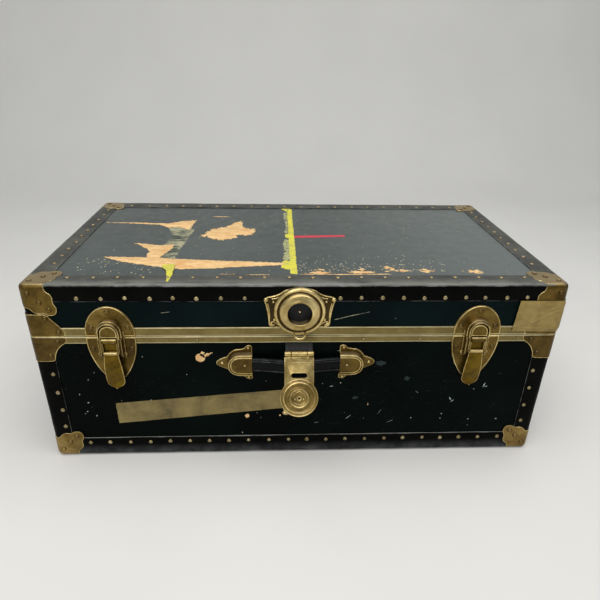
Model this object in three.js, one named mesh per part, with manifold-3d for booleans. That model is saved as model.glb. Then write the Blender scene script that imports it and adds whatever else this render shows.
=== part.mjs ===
// Steamer trunk: a plywood case with fibre binding on its edges, sheet-brass corner caps and
// clamps, a brass valance each side of the seam, two draw latches, a hasp lock and leather handles.
//
// Frame: millimetres, +Z up, the front faces -Y and +X is to the right. The floor is z = 0, and the
// origin is under the middle of the whole object's box.

import * as THREE from 'three';
import Module from 'manifold-3d';
import { mergeVertices } from 'three/addons/utils/BufferGeometryUtils.js';

const wasm = await Module();
wasm.setup();

// ---- Driving dimensions ------------------------------------------------------------------------

const WIDTH = 787;              // over the corner caps, left to right
const DEPTH = 420;              // over the corner caps, front to back
const HEIGHT = 308.7;           // floor to the top of the lid's corner caps
const SEAM = 225;               // height of the line between base and lid

const GAP = 0.3;                // left between two pieces that touch
const BRASS = 1.0;              // thickness of the caps and clamps
const FIBRE = 1.2;              // thickness of the fibre binding and of the valances
const PLY = 6.5;                // thickness of the plywood walls
const BOARD = 6.0;              // thickness of the top and bottom panels
const CORNER_RADIUS = 8;        // rounding of the case's upright corners

const BASE_BAND = 36;           // width of the binding round the bottom
const LID_BAND = 28;            // width of the binding down from the lid's top edge
const TOP_BAND = 35;            // width of the binding on the top and the underside
const POST_BAND = 32;           // width of the binding on the upright corners
const BASE_VALANCE = 12;        // height of the base's valance
const LID_VALANCE = 14;         // height of the lid's valance

const HASP_REACH = 66.3;        // hasp hinge to the middle of its disc
const HASP_STANDOFF = 12;       // hasp hinge in front of the case
const HASP_HEIGHT = 201.2;      // hasp hinge above the floor
const HASP_TILT = 24;           // degrees that the open hasp leans out over the handle

const LATCH_LEFT = -275.5;      // middle of the left latch
const LATCH_RIGHT = 266;        // middle of the right latch
const LATCH_HEIGHT = 221.5;     // lever pivot above the floor
const LATCH_STANDOFF = 9;       // lever pivot in front of the case
const LATCH_DROP = 19;          // lever pivot down to the link pivot

const HANDLE_X = -5;            // middle of the front handle
const FRONT_HANDLE_Z = 178;     // height of the front handle
const END_HANDLE_Z = 135;       // height of the end handles
const HANDLE_HALF = 66;         // middle of a handle to the mouth of its cap
const STRAP_WIDTH = 24;
const STRAP_THICKNESS = 4;

const HINGE_STANDOFF = 3.6;     // lid hinge axis behind the case
const HINGE_SPREAD = 235;       // middle of the case to each back hinge

// The lid stay is a parallelogram: its base stud, middle rivet and lid stud with the lid's hinge.
const STAY_BASE = { back: -70, up: -36 };
const STAY_LID = { back: -168, up: 50 };

// ---- Sizes that follow -------------------------------------------------------------------------

// Stand-offs are measured outwards from the case's nominal face, so these are behind it.
const HARDWARE = -BRASS;
const SKIN_FACE = HARDWARE - GAP;
const SKIN_BACK = SKIN_FACE - FIBRE;
const PANEL_FACE = SKIN_BACK - GAP;
const ON_PANEL = SKIN_BACK;

const HASP_DISC = 29;
const FRONT_REACH = HASP_STANDOFF + (HASP_REACH + HASP_DISC) * Math.sin(rad(HASP_TILT));
const KNUCKLE = 3;
const BACK_REACH = HINGE_STANDOFF + KNUCKLE;
const FRONT = -DEPTH / 2 + (FRONT_REACH - BACK_REACH) / 2;
const BACK = FRONT + DEPTH;
const MIDDLE_Y = (FRONT + BACK) / 2;

const BASE_TOP = SEAM - GAP;
const LID_BOTTOM = SEAM + GAP;
const BASE_BOUND = SEAM - BASE_VALANCE - GAP;
const LID_BOUND = SEAM + LID_VALANCE + GAP;
const FAR = 1000;

// ---- Materials ---------------------------------------------------------------------------------

function material(color, roughness, metalness) {
  return new THREE.MeshStandardMaterial({ color, roughness, metalness });
}

const lacquer = () => material(0x0e1a1a, 0.45, 0);
const fibre = () => material(0x141312, 0.6, 0);
const brass = () => material(0x8c7038, 0.38, 1);
const paleBrass = () => material(0xa08c5a, 0.42, 1);
const leather = () => material(0x1a1819, 0.55, 0);
const steel = () => material(0x77746c, 0.4, 1);

// ---- Geometry helpers --------------------------------------------------------------------------

function rad(degrees) {
  return (degrees * Math.PI) / 180;
}

function toSolid(geometry) {
  const bare = geometry.clone();
  bare.deleteAttribute('normal');
  bare.deleteAttribute('uv');
  const merged = mergeVertices(bare, 1e-4);
  return new wasm.Manifold(new wasm.Mesh({
    numProp: 3,
    vertProperties: Float32Array.from(merged.attributes.position.array),
    triVerts: Uint32Array.from(merged.index.array),
  }));
}

function toGeometry(solid) {
  const mesh = solid.getMesh();
  const geometry = new THREE.BufferGeometry();
  geometry.setAttribute('position', new THREE.BufferAttribute(mesh.vertProperties, 3));
  geometry.setIndex(new THREE.BufferAttribute(mesh.triVerts, 1));
  geometry.computeVertexNormals();
  return geometry;
}

function join(...geometries) {
  return toGeometry(geometries.map(toSolid).reduce((a, b) => a.add(b)));
}

function cut(geometry, ...tools) {
  return toGeometry(tools.map(toSolid).reduce((a, b) => a.subtract(b), toSolid(geometry)));
}

function overlap(a, b) {
  return toGeometry(toSolid(a).intersect(toSolid(b)));
}

function box(x, y, z) {
  const geometry = new THREE.BoxGeometry(x[1] - x[0], y[1] - y[0], z[1] - z[0]);
  return geometry.translate((x[0] + x[1]) / 2, (y[0] + y[1]) / 2, (z[0] + z[1]) / 2);
}

// A shape drawn as seen from the front, solid from stand-off `inner` to stand-off `outer`.
function frontPlate(shape, inner, outer, curveSegments = 5) {
  const geometry = new THREE.ExtrudeGeometry(shape, {
    depth: outer - inner, bevelEnabled: false, curveSegments,
  });
  return geometry.rotateX(Math.PI / 2).translate(0, -inner, 0);
}

// A box in a face's own frame, given by its width, its stand-offs and its heights.
function frontBox(x, standoff, z) {
  return box(x, [-standoff[1], -standoff[0]], z);
}

// A side profile of [stand-off, height] points, solid from x = left to x = right.
function sideProfile(points, left, right) {
  const shape = new THREE.Shape(points.map(([out, up]) => new THREE.Vector2(out, up)));
  const geometry = new THREE.ExtrudeGeometry(shape, { depth: right - left, bevelEnabled: false });
  const outwards = new THREE.Matrix4().makeBasis(
    new THREE.Vector3(0, -1, 0), new THREE.Vector3(0, 0, 1), new THREE.Vector3(-1, 0, 0),
  );
  return geometry.applyMatrix4(outwards).translate(right, 0, 0);
}

// A round bar along X.
function barX(radius, left, right, standoff, height, sides = 16) {
  const geometry = new THREE.CylinderGeometry(radius, radius, right - left, sides);
  return geometry.rotateZ(Math.PI / 2).translate((left + right) / 2, -standoff, height);
}

// A solid of revolution about the outward direction, from [radius, stand-off] points.
function turned(profile, x, height, sides = 24) {
  const points = profile.map(([radius, out]) => new THREE.Vector2(radius, out));
  const geometry = new THREE.LatheGeometry(points, sides);
  return geometry.rotateX(Math.PI).translate(x, 0, height);
}

function disc(radius, inner, outer, x, height, sides = 24) {
  return turned([[0, inner], [radius, inner], [radius, outer], [0, outer]], x, height, sides);
}

// A box whose four upright faces stand `standoff` outside the case's nominal faces.
function caseBox(standoff, z) {
  const halfWidth = WIDTH / 2 + standoff;
  return box([-halfWidth, halfWidth], [FRONT - standoff, BACK + standoff], z);
}

// A block through the case that leaves `margin` of each upright edge on the front and back.
function windowThroughFront(margin, z) {
  return box([-WIDTH / 2 + margin, WIDTH / 2 - margin], [-FAR, FAR], z);
}

function windowThroughEnds(margin, z) {
  return box([-FAR, FAR], [FRONT + margin, BACK - margin], z);
}

function windowThroughTop(margin, z) {
  return box([-WIDTH / 2 + margin, WIDTH / 2 - margin], [FRONT + margin, BACK - margin], z);
}

// ---- Scene graph -------------------------------------------------------------------------------

const trunk = new THREE.Group();

function addPart(parent, name, geometry, look) {
  const mesh = new THREE.Mesh(geometry, look);
  mesh.name = name;
  parent.add(mesh);
  return mesh;
}

// Each face's own frame has its origin at the middle of the face's bottom edge, X along the face
// and -Y outwards.
function addFace(x, y, turn) {
  const face = new THREE.Group();
  face.position.set(x, y, 0);
  face.rotation.z = rad(turn);
  trunk.add(face);
  return face;
}

const frontFace = addFace(0, FRONT, 0);
const backFace = addFace(0, BACK, 180);
const leftFace = addFace(-WIDTH / 2, MIDDLE_Y, -90);
const rightFace = addFace(WIDTH / 2, MIDDLE_Y, 90);

// ---- The plywood case --------------------------------------------------------------------------

const OUTER_X = WIDTH / 2 + PANEL_FACE;
const OUTER_FRONT = FRONT - PANEL_FACE;
const OUTER_BACK = BACK + PANEL_FACE;

// A board trimmed to the case's rounded upright corners.
function roundCorners(geometry) {
  const r = CORNER_RADIUS;
  const halfDepth = (OUTER_BACK - OUTER_FRONT) / 2;
  const shape = new THREE.Shape();
  shape.absarc(OUTER_X - r, r - halfDepth, r, -Math.PI / 2, 0, false);
  shape.absarc(OUTER_X - r, halfDepth - r, r, 0, Math.PI / 2, false);
  shape.absarc(r - OUTER_X, halfDepth - r, r, Math.PI / 2, Math.PI, false);
  shape.absarc(r - OUTER_X, r - halfDepth, r, Math.PI, 1.5 * Math.PI, false);
  const core = new THREE.ExtrudeGeometry(shape, {
    depth: HEIGHT, bevelEnabled: false, curveSegments: 4,
  });
  return overlap(geometry, core.translate(0, MIDDLE_Y, 0));
}

// Four walls: the front and the back run the full width, and the ends fit between them.
function addWalls(names, z) {
  const across = [-OUTER_X, OUTER_X];
  const between = [OUTER_FRONT + PLY + GAP, OUTER_BACK - PLY - GAP];
  const front = box(across, [OUTER_FRONT, OUTER_FRONT + PLY], z);
  const back = box(across, [OUTER_BACK - PLY, OUTER_BACK], z);
  addPart(trunk, names.front, roundCorners(front), lacquer());
  addPart(trunk, names.back, roundCorners(back), lacquer());
  addPart(trunk, names.left, box([-OUTER_X, -OUTER_X + PLY], between, z), lacquer());
  addPart(trunk, names.right, box([OUTER_X - PLY, OUTER_X], between, z), lacquer());
}

const boardX = [-OUTER_X, OUTER_X];
const boardY = [OUTER_FRONT, OUTER_BACK];
const floorTop = -PANEL_FACE + BOARD;
const ceiling = HEIGHT + PANEL_FACE - BOARD;

const bottomBoard = box(boardX, boardY, [-PANEL_FACE, floorTop]);
addPart(trunk, 'bottom_panel', roundCorners(bottomBoard), lacquer());
addWalls({
  front: 'front_panel', back: 'back_panel', left: 'left_end_panel', right: 'right_end_panel',
}, [floorTop + GAP, BASE_TOP]);

const topBoard = box(boardX, boardY, [ceiling, ceiling + BOARD]);
addPart(trunk, 'lid_top_panel', roundCorners(topBoard), lacquer());
addWalls({
  front: 'lid_front_rail', back: 'lid_back_rail', left: 'lid_left_rail', right: 'lid_right_rail',
}, [LID_BOTTOM, ceiling - GAP]);

// ---- Binding and valances ----------------------------------------------------------------------

addPart(trunk, 'base_binding', cut(
  caseBox(SKIN_FACE, [-SKIN_FACE, BASE_BOUND]),
  caseBox(SKIN_BACK, [-SKIN_BACK, FAR]),
  windowThroughFront(POST_BAND, [BASE_BAND, FAR]),
  windowThroughEnds(POST_BAND, [BASE_BAND, FAR]),
  windowThroughTop(TOP_BAND, [-FAR, BASE_BAND]),
), fibre());

addPart(trunk, 'lid_binding', cut(
  caseBox(SKIN_FACE, [LID_BOUND, HEIGHT + SKIN_FACE]),
  caseBox(SKIN_BACK, [-FAR, HEIGHT + SKIN_BACK]),
  windowThroughFront(POST_BAND, [-FAR, HEIGHT - LID_BAND]),
  windowThroughEnds(POST_BAND, [-FAR, HEIGHT - LID_BAND]),
  windowThroughTop(TOP_BAND, [HEIGHT - LID_BAND, FAR]),
), fibre());

function valance(z) {
  return cut(caseBox(SKIN_FACE, z), caseBox(SKIN_BACK, [-FAR, FAR]));
}

addPart(trunk, 'base_valance', valance([SEAM - BASE_VALANCE, BASE_TOP]), paleBrass());
addPart(trunk, 'lid_valance', valance([LID_BOTTOM, SEAM + LID_VALANCE]), paleBrass());

// ---- Corner caps -------------------------------------------------------------------------------

// One face of a cap: straight along both edges, with a square lobe out along the diagonal.
function capOutline() {
  const shape = new THREE.Shape();
  shape.moveTo(0, 0);
  shape.lineTo(37.5, 0);
  shape.quadraticCurveTo(36, 12, 44, 16.5);
  shape.quadraticCurveTo(45, 27, 49.5, 37);
  shape.quadraticCurveTo(50, 50, 37, 49.5);
  shape.quadraticCurveTo(27, 45, 16.5, 44);
  shape.quadraticCurveTo(12, 36, 0, 37.5);
  return shape;
}

// The cap fills the corner at the origin, between the +X, +Y and +Z directions.
function cornerCap() {
  const face = new THREE.ExtrudeGeometry(capOutline(), {
    depth: BRASS, bevelEnabled: false, curveSegments: 3,
  });
  const turn = new THREE.Matrix4().makeRotationAxis(new THREE.Vector3(1, 1, 1).normalize(), rad(120));
  const second = face.clone().applyMatrix4(turn);
  const third = second.clone().applyMatrix4(turn);
  return join(face, second, third);
}

// The four upright corners of the case, with the direction from each one into the case.
const CORNERS = [
  { place: 'front_left', x: -WIDTH / 2, y: FRONT, inX: 1, inY: 1 },
  { place: 'front_right', x: WIDTH / 2, y: FRONT, inX: -1, inY: 1 },
  { place: 'back_left', x: -WIDTH / 2, y: BACK, inX: 1, inY: -1 },
  { place: 'back_right', x: WIDTH / 2, y: BACK, inX: -1, inY: -1 },
];

for (const { place, x, y, inX, inY } of CORNERS) {
  const low = addPart(trunk, `base_corner_cap_${place}`, cornerCap(), brass());
  low.position.set(x, y, 0);
  low.scale.set(inX, inY, 1);
  const high = addPart(trunk, `lid_corner_cap_${place}`, cornerCap(), brass());
  high.position.set(x, y, HEIGHT);
  high.scale.set(inX, inY, -1);
}

// ---- Corner clamps -----------------------------------------------------------------------------

// A clamp wraps an upright edge just above or below the seam. `side` is 1 above and -1 below, and
// the outline's heights are measured from the seam.
function clampOutline(side) {
  const tall = side > 0 ? 36 : 42;
  const shape = new THREE.Shape();
  shape.moveTo(0, GAP);
  shape.lineTo(49, GAP);
  shape.lineTo(54, 11);
  shape.quadraticCurveTo(38, 19, 30.5, tall);
  shape.lineTo(0, tall);
  return shape;
}

function cornerClamp(side) {
  const face = new THREE.ExtrudeGeometry(clampOutline(side), {
    depth: BRASS, bevelEnabled: false, curveSegments: 4,
  });
  const onFront = new THREE.Matrix4().makeBasis(
    new THREE.Vector3(1, 0, 0), new THREE.Vector3(0, 0, 1), new THREE.Vector3(0, -1, 0),
  );
  const onEnd = new THREE.Matrix4().makeBasis(
    new THREE.Vector3(0, 1, 0), new THREE.Vector3(0, 0, 1), new THREE.Vector3(1, 0, 0),
  );
  return join(
    face.clone().applyMatrix4(onFront).translate(0, BRASS, 0),
    face.clone().applyMatrix4(onEnd),
  );
}

for (const { place, x, y, inX, inY } of CORNERS) {
  const low = addPart(trunk, `base_clamp_${place}`, cornerClamp(-1), brass());
  low.position.set(x, y, SEAM);
  low.scale.set(inX, inY, -1);
  const high = addPart(trunk, `lid_clamp_${place}`, cornerClamp(1), brass());
  high.position.set(x, y, SEAM);
  high.scale.set(inX, inY, 1);
}

// ---- Draw latches ------------------------------------------------------------------------------

const PLATE_FACE = 0.2;         // outer face of a latch plate
const PIN = 1.6;                // radius of the pins
const BORE = PIN + GAP;         // radius of the holes that they turn in
const LEVER_HALF = 11;          // half the lever's width between its pivots
const LINK_HALF = 13.2;         // half the link's width
const LINK_HEIGHT = LATCH_HEIGHT - LATCH_DROP;
const LINK_STANDOFF = LATCH_STANDOFF - 1;

// Clearance over the valance behind a plate that crosses it.
function overValance(z) {
  return frontBox([-60, 60], [SKIN_BACK - GAP, HARDWARE], z);
}

function keeperOutline() {
  const shape = new THREE.Shape();
  shape.moveTo(-35.5, LID_BOTTOM + GAP);
  shape.lineTo(35.5, LID_BOTTOM + GAP);
  shape.bezierCurveTo(38, 248, 22, 274, 0, 274);
  shape.bezierCurveTo(-22, 274, -38, 248, -35.5, LID_BOTTOM + GAP);
  return shape;
}

// The raised horseshoe on the keeper, which the link's tongue sits inside.
function hoodOutline() {
  const crown = 236;
  const outside = 17.5;
  const inside = LINK_HALF + 0.4;
  const foot = LID_BOTTOM + GAP;
  const shape = new THREE.Shape();
  shape.moveTo(-outside, foot);
  shape.lineTo(-inside, foot);
  shape.absarc(0, crown, inside, Math.PI, 0, true);
  shape.lineTo(inside, foot);
  shape.lineTo(outside, foot);
  shape.absarc(0, crown, outside, 0, Math.PI, false);
  return shape;
}

function latchKeeper() {
  const plate = cut(
    frontPlate(keeperOutline(), ON_PANEL, PLATE_FACE),
    overValance([SEAM, LID_BOUND]),
  );
  return join(plate, frontPlate(hoodOutline(), PLATE_FACE - GAP, 11, 6));
}

function latchPlateOutline() {
  const shape = new THREE.Shape();
  shape.moveTo(-35.5, BASE_TOP - GAP);
  shape.bezierCurveTo(-38, 200, -28, 172, -13, 154);
  shape.lineTo(13, 154);
  shape.bezierCurveTo(28, 172, 38, 200, 35.5, BASE_TOP - GAP);
  return shape;
}

// The base plate has a lug in the middle that holds the lever's pin, and a rail at each side.
function latchPlate() {
  const plate = cut(
    frontPlate(latchPlateOutline(), ON_PANEL, PLATE_FACE),
    overValance([BASE_BOUND, SEAM]),
  );
  const lug = frontBox([-9, 9], [0, LATCH_STANDOFF], [LATCH_HEIGHT - KNUCKLE, LATCH_HEIGHT + 2.6]);
  const knuckle = barX(KNUCKLE, -9, 9, LATCH_STANDOFF, LATCH_HEIGHT);
  const pin = barX(PIN, -LEVER_HALF, LEVER_HALF, LATCH_STANDOFF, LATCH_HEIGHT);
  const rails = [-1, 1].map((side) => {
    const inner = LINK_HALF + 0.6;
    const x = side < 0 ? [-inner - 3, -inner] : [inner, inner + 3];
    return frontBox(x, [0, 8], [192, BASE_TOP - GAP]);
  });
  return join(plate, lug, knuckle, pin, ...rails);
}

function leverOutline() {
  const shape = new THREE.Shape();
  shape.moveTo(-LEVER_HALF, LINK_HEIGHT + 2.5);
  shape.lineTo(LEVER_HALF, LINK_HEIGHT + 2.5);
  shape.bezierCurveTo(LEVER_HALF, 190, 13, 180, 13, 164);
  shape.bezierCurveTo(13, 146, 7, 141.5, 0, 141.5);
  shape.bezierCurveTo(-7, 141.5, -13, 146, -13, 164);
  shape.bezierCurveTo(-13, 180, -LEVER_HALF, 190, -LEVER_HALF, LINK_HEIGHT + 2.5);
  return shape;
}

// The lever: a spoon below the link's pin, and a sunk channel with two cheeks above it.
function latchLever() {
  const spoon = overlap(
    frontPlate(leverOutline(), 0, 20, 6),
    sideProfile([
      [10, 206], [11.8, 206], [12.2, 190], [11, 168], [8, 150], [8.6, 140],
      [6.6, 140], [6, 150], [8.6, 168], [9.8, 190],
    ], -20, 20),
  );
  const cheeks = [-1, 1].map((side) => {
    const x = side < 0 ? [-LEVER_HALF, -9.4] : [9.4, LEVER_HALF];
    return join(
      frontBox(x, [LINK_STANDOFF - 2.6, 10.4], [LINK_HEIGHT - 3, LATCH_HEIGHT]),
      barX(3.2, x[0], x[1], LATCH_STANDOFF, LATCH_HEIGHT),
    );
  });
  const web = frontBox([-9.6, 9.6], [6, 7.4], [LINK_HEIGHT - 3, LATCH_HEIGHT - 4.5]);
  const shoulder = frontBox([-9.6, 9.6], [6, 11], [LINK_HEIGHT - 3, LINK_HEIGHT + 2.5]);
  const linkPin = barX(PIN, -LINK_HALF, LINK_HALF, LINK_STANDOFF, LINK_HEIGHT);
  const bore = barX(BORE, -20, 20, LATCH_STANDOFF, LATCH_HEIGHT);
  return cut(join(spoon, ...cheeks, web, shoulder, linkPin), bore);
}

function tongueOutline() {
  const round = 13;
  const crown = 234.5;
  const shape = new THREE.Shape();
  shape.moveTo(-round, 227.5);
  shape.lineTo(round, 227.5);
  shape.absarc(0, crown, round, 0, Math.PI, false);
  return shape;
}

// The link: two arms from the lever's lower pin up past the pivot to a tongue under the hood.
function latchLink() {
  const arms = [-1, 1].map((side) => {
    const x = side < 0 ? [-LINK_HALF, -LEVER_HALF - 0.5] : [LEVER_HALF + 0.5, LINK_HALF];
    return cut(
      join(
        frontBox(x, [LINK_STANDOFF - 2.4, LINK_STANDOFF + 2], [LINK_HEIGHT, 229]),
        barX(3.2, x[0], x[1], LINK_STANDOFF, LINK_HEIGHT),
      ),
      barX(BORE, x[0] - 1, x[1] + 1, LINK_STANDOFF, LINK_HEIGHT),
    );
  });
  return join(frontPlate(tongueOutline(), 3, 10), ...arms);
}

for (const [side, x] of [['left', LATCH_LEFT], ['right', LATCH_RIGHT]]) {
  const latch = new THREE.Group();
  latch.position.x = x;
  frontFace.add(latch);
  addPart(latch, `${side}_latch_plate`, latchPlate(), brass());
  addPart(latch, `${side}_latch_keeper`, latchKeeper(), brass());
  addPart(latch, `${side}_latch_lever`, latchLever(), brass());
  addPart(latch, `${side}_latch_link`, latchLink(), brass());
}

// ---- Lock: receptacle on the lid ---------------------------------------------------------------

const LOCK_X = -1;              // middle of the lock, left to right
const LOCK_HEIGHT = HASP_HEIGHT + HASP_REACH - 1.5;
const LOCK_LIP = 11;            // stand-off of the receptacle's lip
const LOCK_HOLE = 17.5;

function receptacleOutline() {
  const shape = new THREE.Shape();
  shape.moveTo(-9, 240);
  shape.lineTo(9, 240);
  shape.quadraticCurveTo(20, 243, 30, 240);
  shape.quadraticCurveTo(44, 237, 44.5, 245);
  shape.quadraticCurveTo(43.5, 262, 47, 280);
  shape.quadraticCurveTo(54, 288, 42, 289);
  shape.quadraticCurveTo(30, 292, 24, 298);
  shape.quadraticCurveTo(0, 309, -24, 298);
  shape.quadraticCurveTo(-30, 292, -42, 289);
  shape.quadraticCurveTo(-54, 288, -47, 280);
  shape.quadraticCurveTo(-43.5, 262, -44.5, 245);
  shape.quadraticCurveTo(-44, 237, -30, 240);
  shape.quadraticCurveTo(-20, 243, -9, 240);
  return shape;
}

function lockReceptacle() {
  const plate = frontPlate(receptacleOutline(), HARDWARE, PLATE_FACE, 4);
  const rings = turned([
    [LOCK_HOLE, HARDWARE], [38.5, HARDWARE], [38.5, 3], [36, 5.4], [32, 5], [30, 6],
    [26, LOCK_LIP - 1], [20, LOCK_LIP], [LOCK_HOLE, LOCK_LIP - 0.6], [LOCK_HOLE, HARDWARE],
  ], 0, LOCK_HEIGHT);
  const hole = disc(LOCK_HOLE, -5, 20, 0, LOCK_HEIGHT);
  const nose = frontBox([-13, 13], [HARDWARE, 3], [229, 244]);
  const staple = frontBox([-9.5, 9.5], [0, 15], [231.2, 236.8]);
  const clearance = frontBox([-20, 20], [HARDWARE - 5, HARDWARE], [220, 250]);
  return cut(join(plate, rings, nose, staple), hole, clearance);
}

addPart(frontFace, 'lock_receptacle', lockReceptacle(), brass()).position.x = LOCK_X;

// ---- Lock: hasp on the base --------------------------------------------------------------------

const HASP_HALF = 23;           // half the hasp's width
const SHEET_BACK = -2.3;        // the hasp's sheet, measured outwards from its hinge axis
const SHEET_FACE = -0.8;
const BARREL = 3.3;
const LOCK_CASE = 19;           // radius of the lock case behind the disc
const PLUG = 7;                 // radius of the key plug

// The bracket folds out from under the valance to carry the barrel's two end knuckles and the pin.
function haspBracket() {
  const top = BASE_BOUND;
  const shelf = sideProfile([
    [ON_PANEL, 196], [SKIN_FACE, 196], [SKIN_FACE, top - 2], [HASP_STANDOFF, HASP_HEIGHT + 1.5],
    [HASP_STANDOFF, HASP_HEIGHT + BARREL], [SKIN_FACE + 1.5, top], [ON_PANEL, top],
  ], -20.5, 20.5);
  const barrel = barX(BARREL, -20.5, 20.5, HASP_STANDOFF, HASP_HEIGHT);
  const room = barX(BARREL + 0.5, -12, 12, HASP_STANDOFF, HASP_HEIGHT);
  const pin = barX(PIN, -12.2, 12.2, HASP_STANDOFF, HASP_HEIGHT);
  return join(cut(join(shelf, barrel), room), pin);
}

// The hasp is drawn hanging straight down from its hinge at the origin, seen from the front.
function haspOutline() {
  const shape = new THREE.Shape();
  const meet = Math.asin(HASP_HALF / HASP_DISC);
  shape.moveTo(-11.6, -2.4);
  shape.lineTo(-11.6, -5);
  shape.lineTo(-HASP_HALF, -5);
  shape.absarc(0, -HASP_REACH, HASP_DISC, Math.PI / 2 + meet, Math.PI / 2 - meet, false);
  shape.lineTo(HASP_HALF, -5);
  shape.lineTo(11.6, -5);
  shape.lineTo(11.6, -2.4);
  return shape;
}

function slotOutline(halfLength, halfHeight, z) {
  const shape = new THREE.Shape();
  const straight = halfLength - halfHeight;
  shape.absarc(straight, z, halfHeight, -Math.PI / 2, Math.PI / 2, false);
  shape.absarc(-straight, z, halfHeight, Math.PI / 2, 1.5 * Math.PI, false);
  return shape;
}

function haspFlap() {
  const sheet = frontPlate(haspOutline(), SHEET_BACK, SHEET_FACE, 9);
  const knuckle = barX(BARREL, -11.6, 11.6, 0, 0);
  const flanges = [-1, 1].map((side) => {
    const x = side < 0 ? [-HASP_HALF, -HASP_HALF + 1.5] : [HASP_HALF - 1.5, HASP_HALF];
    return frontBox(x, [SHEET_BACK, 1], [-38, -6]);
  });
  const boss = turned([
    [0, SHEET_BACK], [23.5, SHEET_BACK], [23.5, 0.7], [15.5, 0.7], [15.5, 3.7], [0, 3.7],
  ], 0, -HASP_REACH);
  const lockCase = disc(LOCK_CASE, -9.5, SHEET_BACK + GAP, 0, -HASP_REACH);
  const slot = frontPlate(slotOutline(12, 3.5, -32.8), -5, 5, 4);
  const plugHole = disc(PLUG + GAP, -20, -4.5, 0, -HASP_REACH, 20);
  const bore = barX(BORE, -30, 30, 0, 0);
  return cut(join(sheet, knuckle, ...flanges, boss, lockCase), slot, plugHole, bore);
}

function lockPlug() {
  const keyway = frontBox([-1.2, 1.2], [-20, -6.5], [-HASP_REACH - 3.5, -HASP_REACH + 3.5]);
  return cut(disc(PLUG, -10.2, -4.8, 0, -HASP_REACH, 20), keyway);
}

addPart(frontFace, 'hasp_bracket', haspBracket(), brass()).position.x = LOCK_X;

const hasp = new THREE.Group();
hasp.position.set(LOCK_X, -HASP_STANDOFF, HASP_HEIGHT);
hasp.rotation.x = -rad(HASP_TILT);
frontFace.add(hasp);
addPart(hasp, 'hasp', haspFlap(), brass());
addPart(hasp, 'lock_plug', lockPlug(), steel());

// ---- Handles -----------------------------------------------------------------------------------

const STRAP_REST = 3;           // the strap's back face at its ends
const STRAP_BOW = 6.9;          // how much further out it stands in the middle
const CAP_TOP = 9.5;

// The cap points away from the strap, with its mouth at x = 0 and its middle at z = 0.
function handleCap() {
  const foot = new THREE.Shape();
  foot.moveTo(0, -31);
  foot.bezierCurveTo(22, -31, 38, -17, 47, -9);
  foot.quadraticCurveTo(57, 0, 47, 9);
  foot.bezierCurveTo(38, 17, 22, 31, 0, 31);
  const dome = new THREE.Shape();
  dome.moveTo(0, -18.5);
  dome.bezierCurveTo(24, -18.5, 36.5, -10, 36.5, 0);
  dome.bezierCurveTo(36.5, 10, 24, 18.5, 0, 18.5);
  const pocket = frontBox([-1, 22], [STRAP_REST - 0.4, STRAP_REST + STRAP_THICKNESS + 0.4],
    [-STRAP_WIDTH / 2 - 0.4, STRAP_WIDTH / 2 + 0.4]);
  return cut(
    join(frontPlate(foot, ON_PANEL, SKIN_FACE), frontPlate(dome, SKIN_FACE - GAP, CAP_TOP)),
    pocket,
  );
}

// A strap lies flat at its ends and bows out between them. `reach` is half its length.
function handleStrap(reach) {
  const steps = 18;
  const xs = Array.from({ length: steps + 1 }, (_, i) => -reach + (2 * reach * i) / steps);
  const back = (x) => {
    const along = Math.min(Math.abs(x) / HANDLE_HALF, 1);
    return STRAP_REST + STRAP_BOW * (0.5 + 0.5 * Math.cos(Math.PI * along));
  };
  const inside = xs.map((x) => new THREE.Vector2(x, -back(x)));
  const outside = xs.map((x) => new THREE.Vector2(x, -back(x) - STRAP_THICKNESS)).reverse();
  const geometry = new THREE.ExtrudeGeometry(new THREE.Shape([...inside, ...outside]), {
    depth: STRAP_WIDTH, bevelEnabled: false,
  });
  return geometry.translate(0, 0, -STRAP_WIDTH / 2);
}

function addHandle(face, name, x, z, reach) {
  const handle = new THREE.Group();
  handle.position.set(x, 0, z);
  face.add(handle);
  addPart(handle, `${name}_strap`, handleStrap(reach), leather());
  for (const [end, side] of [['a', -1], ['b', 1]]) {
    const cap = addPart(handle, `${name}_cap_${end}`, handleCap(), brass());
    cap.position.x = side * HANDLE_HALF;
    cap.scale.x = side;
  }
}

// The front strap runs into its caps. The end straps, which pull out, are drawn from mouth to mouth.
addHandle(frontFace, 'front_handle', HANDLE_X, FRONT_HANDLE_Z, HANDLE_HALF + 20);
addHandle(leftFace, 'left_handle', 0, END_HANDLE_Z, HANDLE_HALF - 0.6);
addHandle(rightFace, 'right_handle', 0, END_HANDLE_Z, HANDLE_HALF - 0.6);

// ---- Back hinges -------------------------------------------------------------------------------

const LEAF_HALF = 30;
const LEAF_HEIGHT = 32;
const LEAF_FACE = 0.4;
const MID_KNUCKLE = 12;

// `side` is 1 for the lid's leaf and -1 for the base's, mirrored about the seam.
function hingeLeaf(side) {
  const plate = frontBox([-LEAF_HALF, LEAF_HALF], [HARDWARE, LEAF_FACE], [2 * GAP, LEAF_HEIGHT]);
  const outer = side > 0 ? [[-MID_KNUCKLE, MID_KNUCKLE]]
    : [[-LEAF_HALF, -MID_KNUCKLE - GAP], [MID_KNUCKLE + GAP, LEAF_HALF]];
  const knuckles = outer.map(([left, right]) => join(
    frontBox([left, right], [HARDWARE, HINGE_STANDOFF], [2 * GAP, 2.6]),
    barX(KNUCKLE, left, right, HINGE_STANDOFF, 0),
  ));
  const leaf = join(plate, ...knuckles);
  if (side > 0) {
    return cut(leaf, barX(BORE, -FAR, FAR, HINGE_STANDOFF, 0));
  }
  return join(leaf, barX(PIN, -MID_KNUCKLE - 1, MID_KNUCKLE + 1, HINGE_STANDOFF, 0));
}

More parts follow.
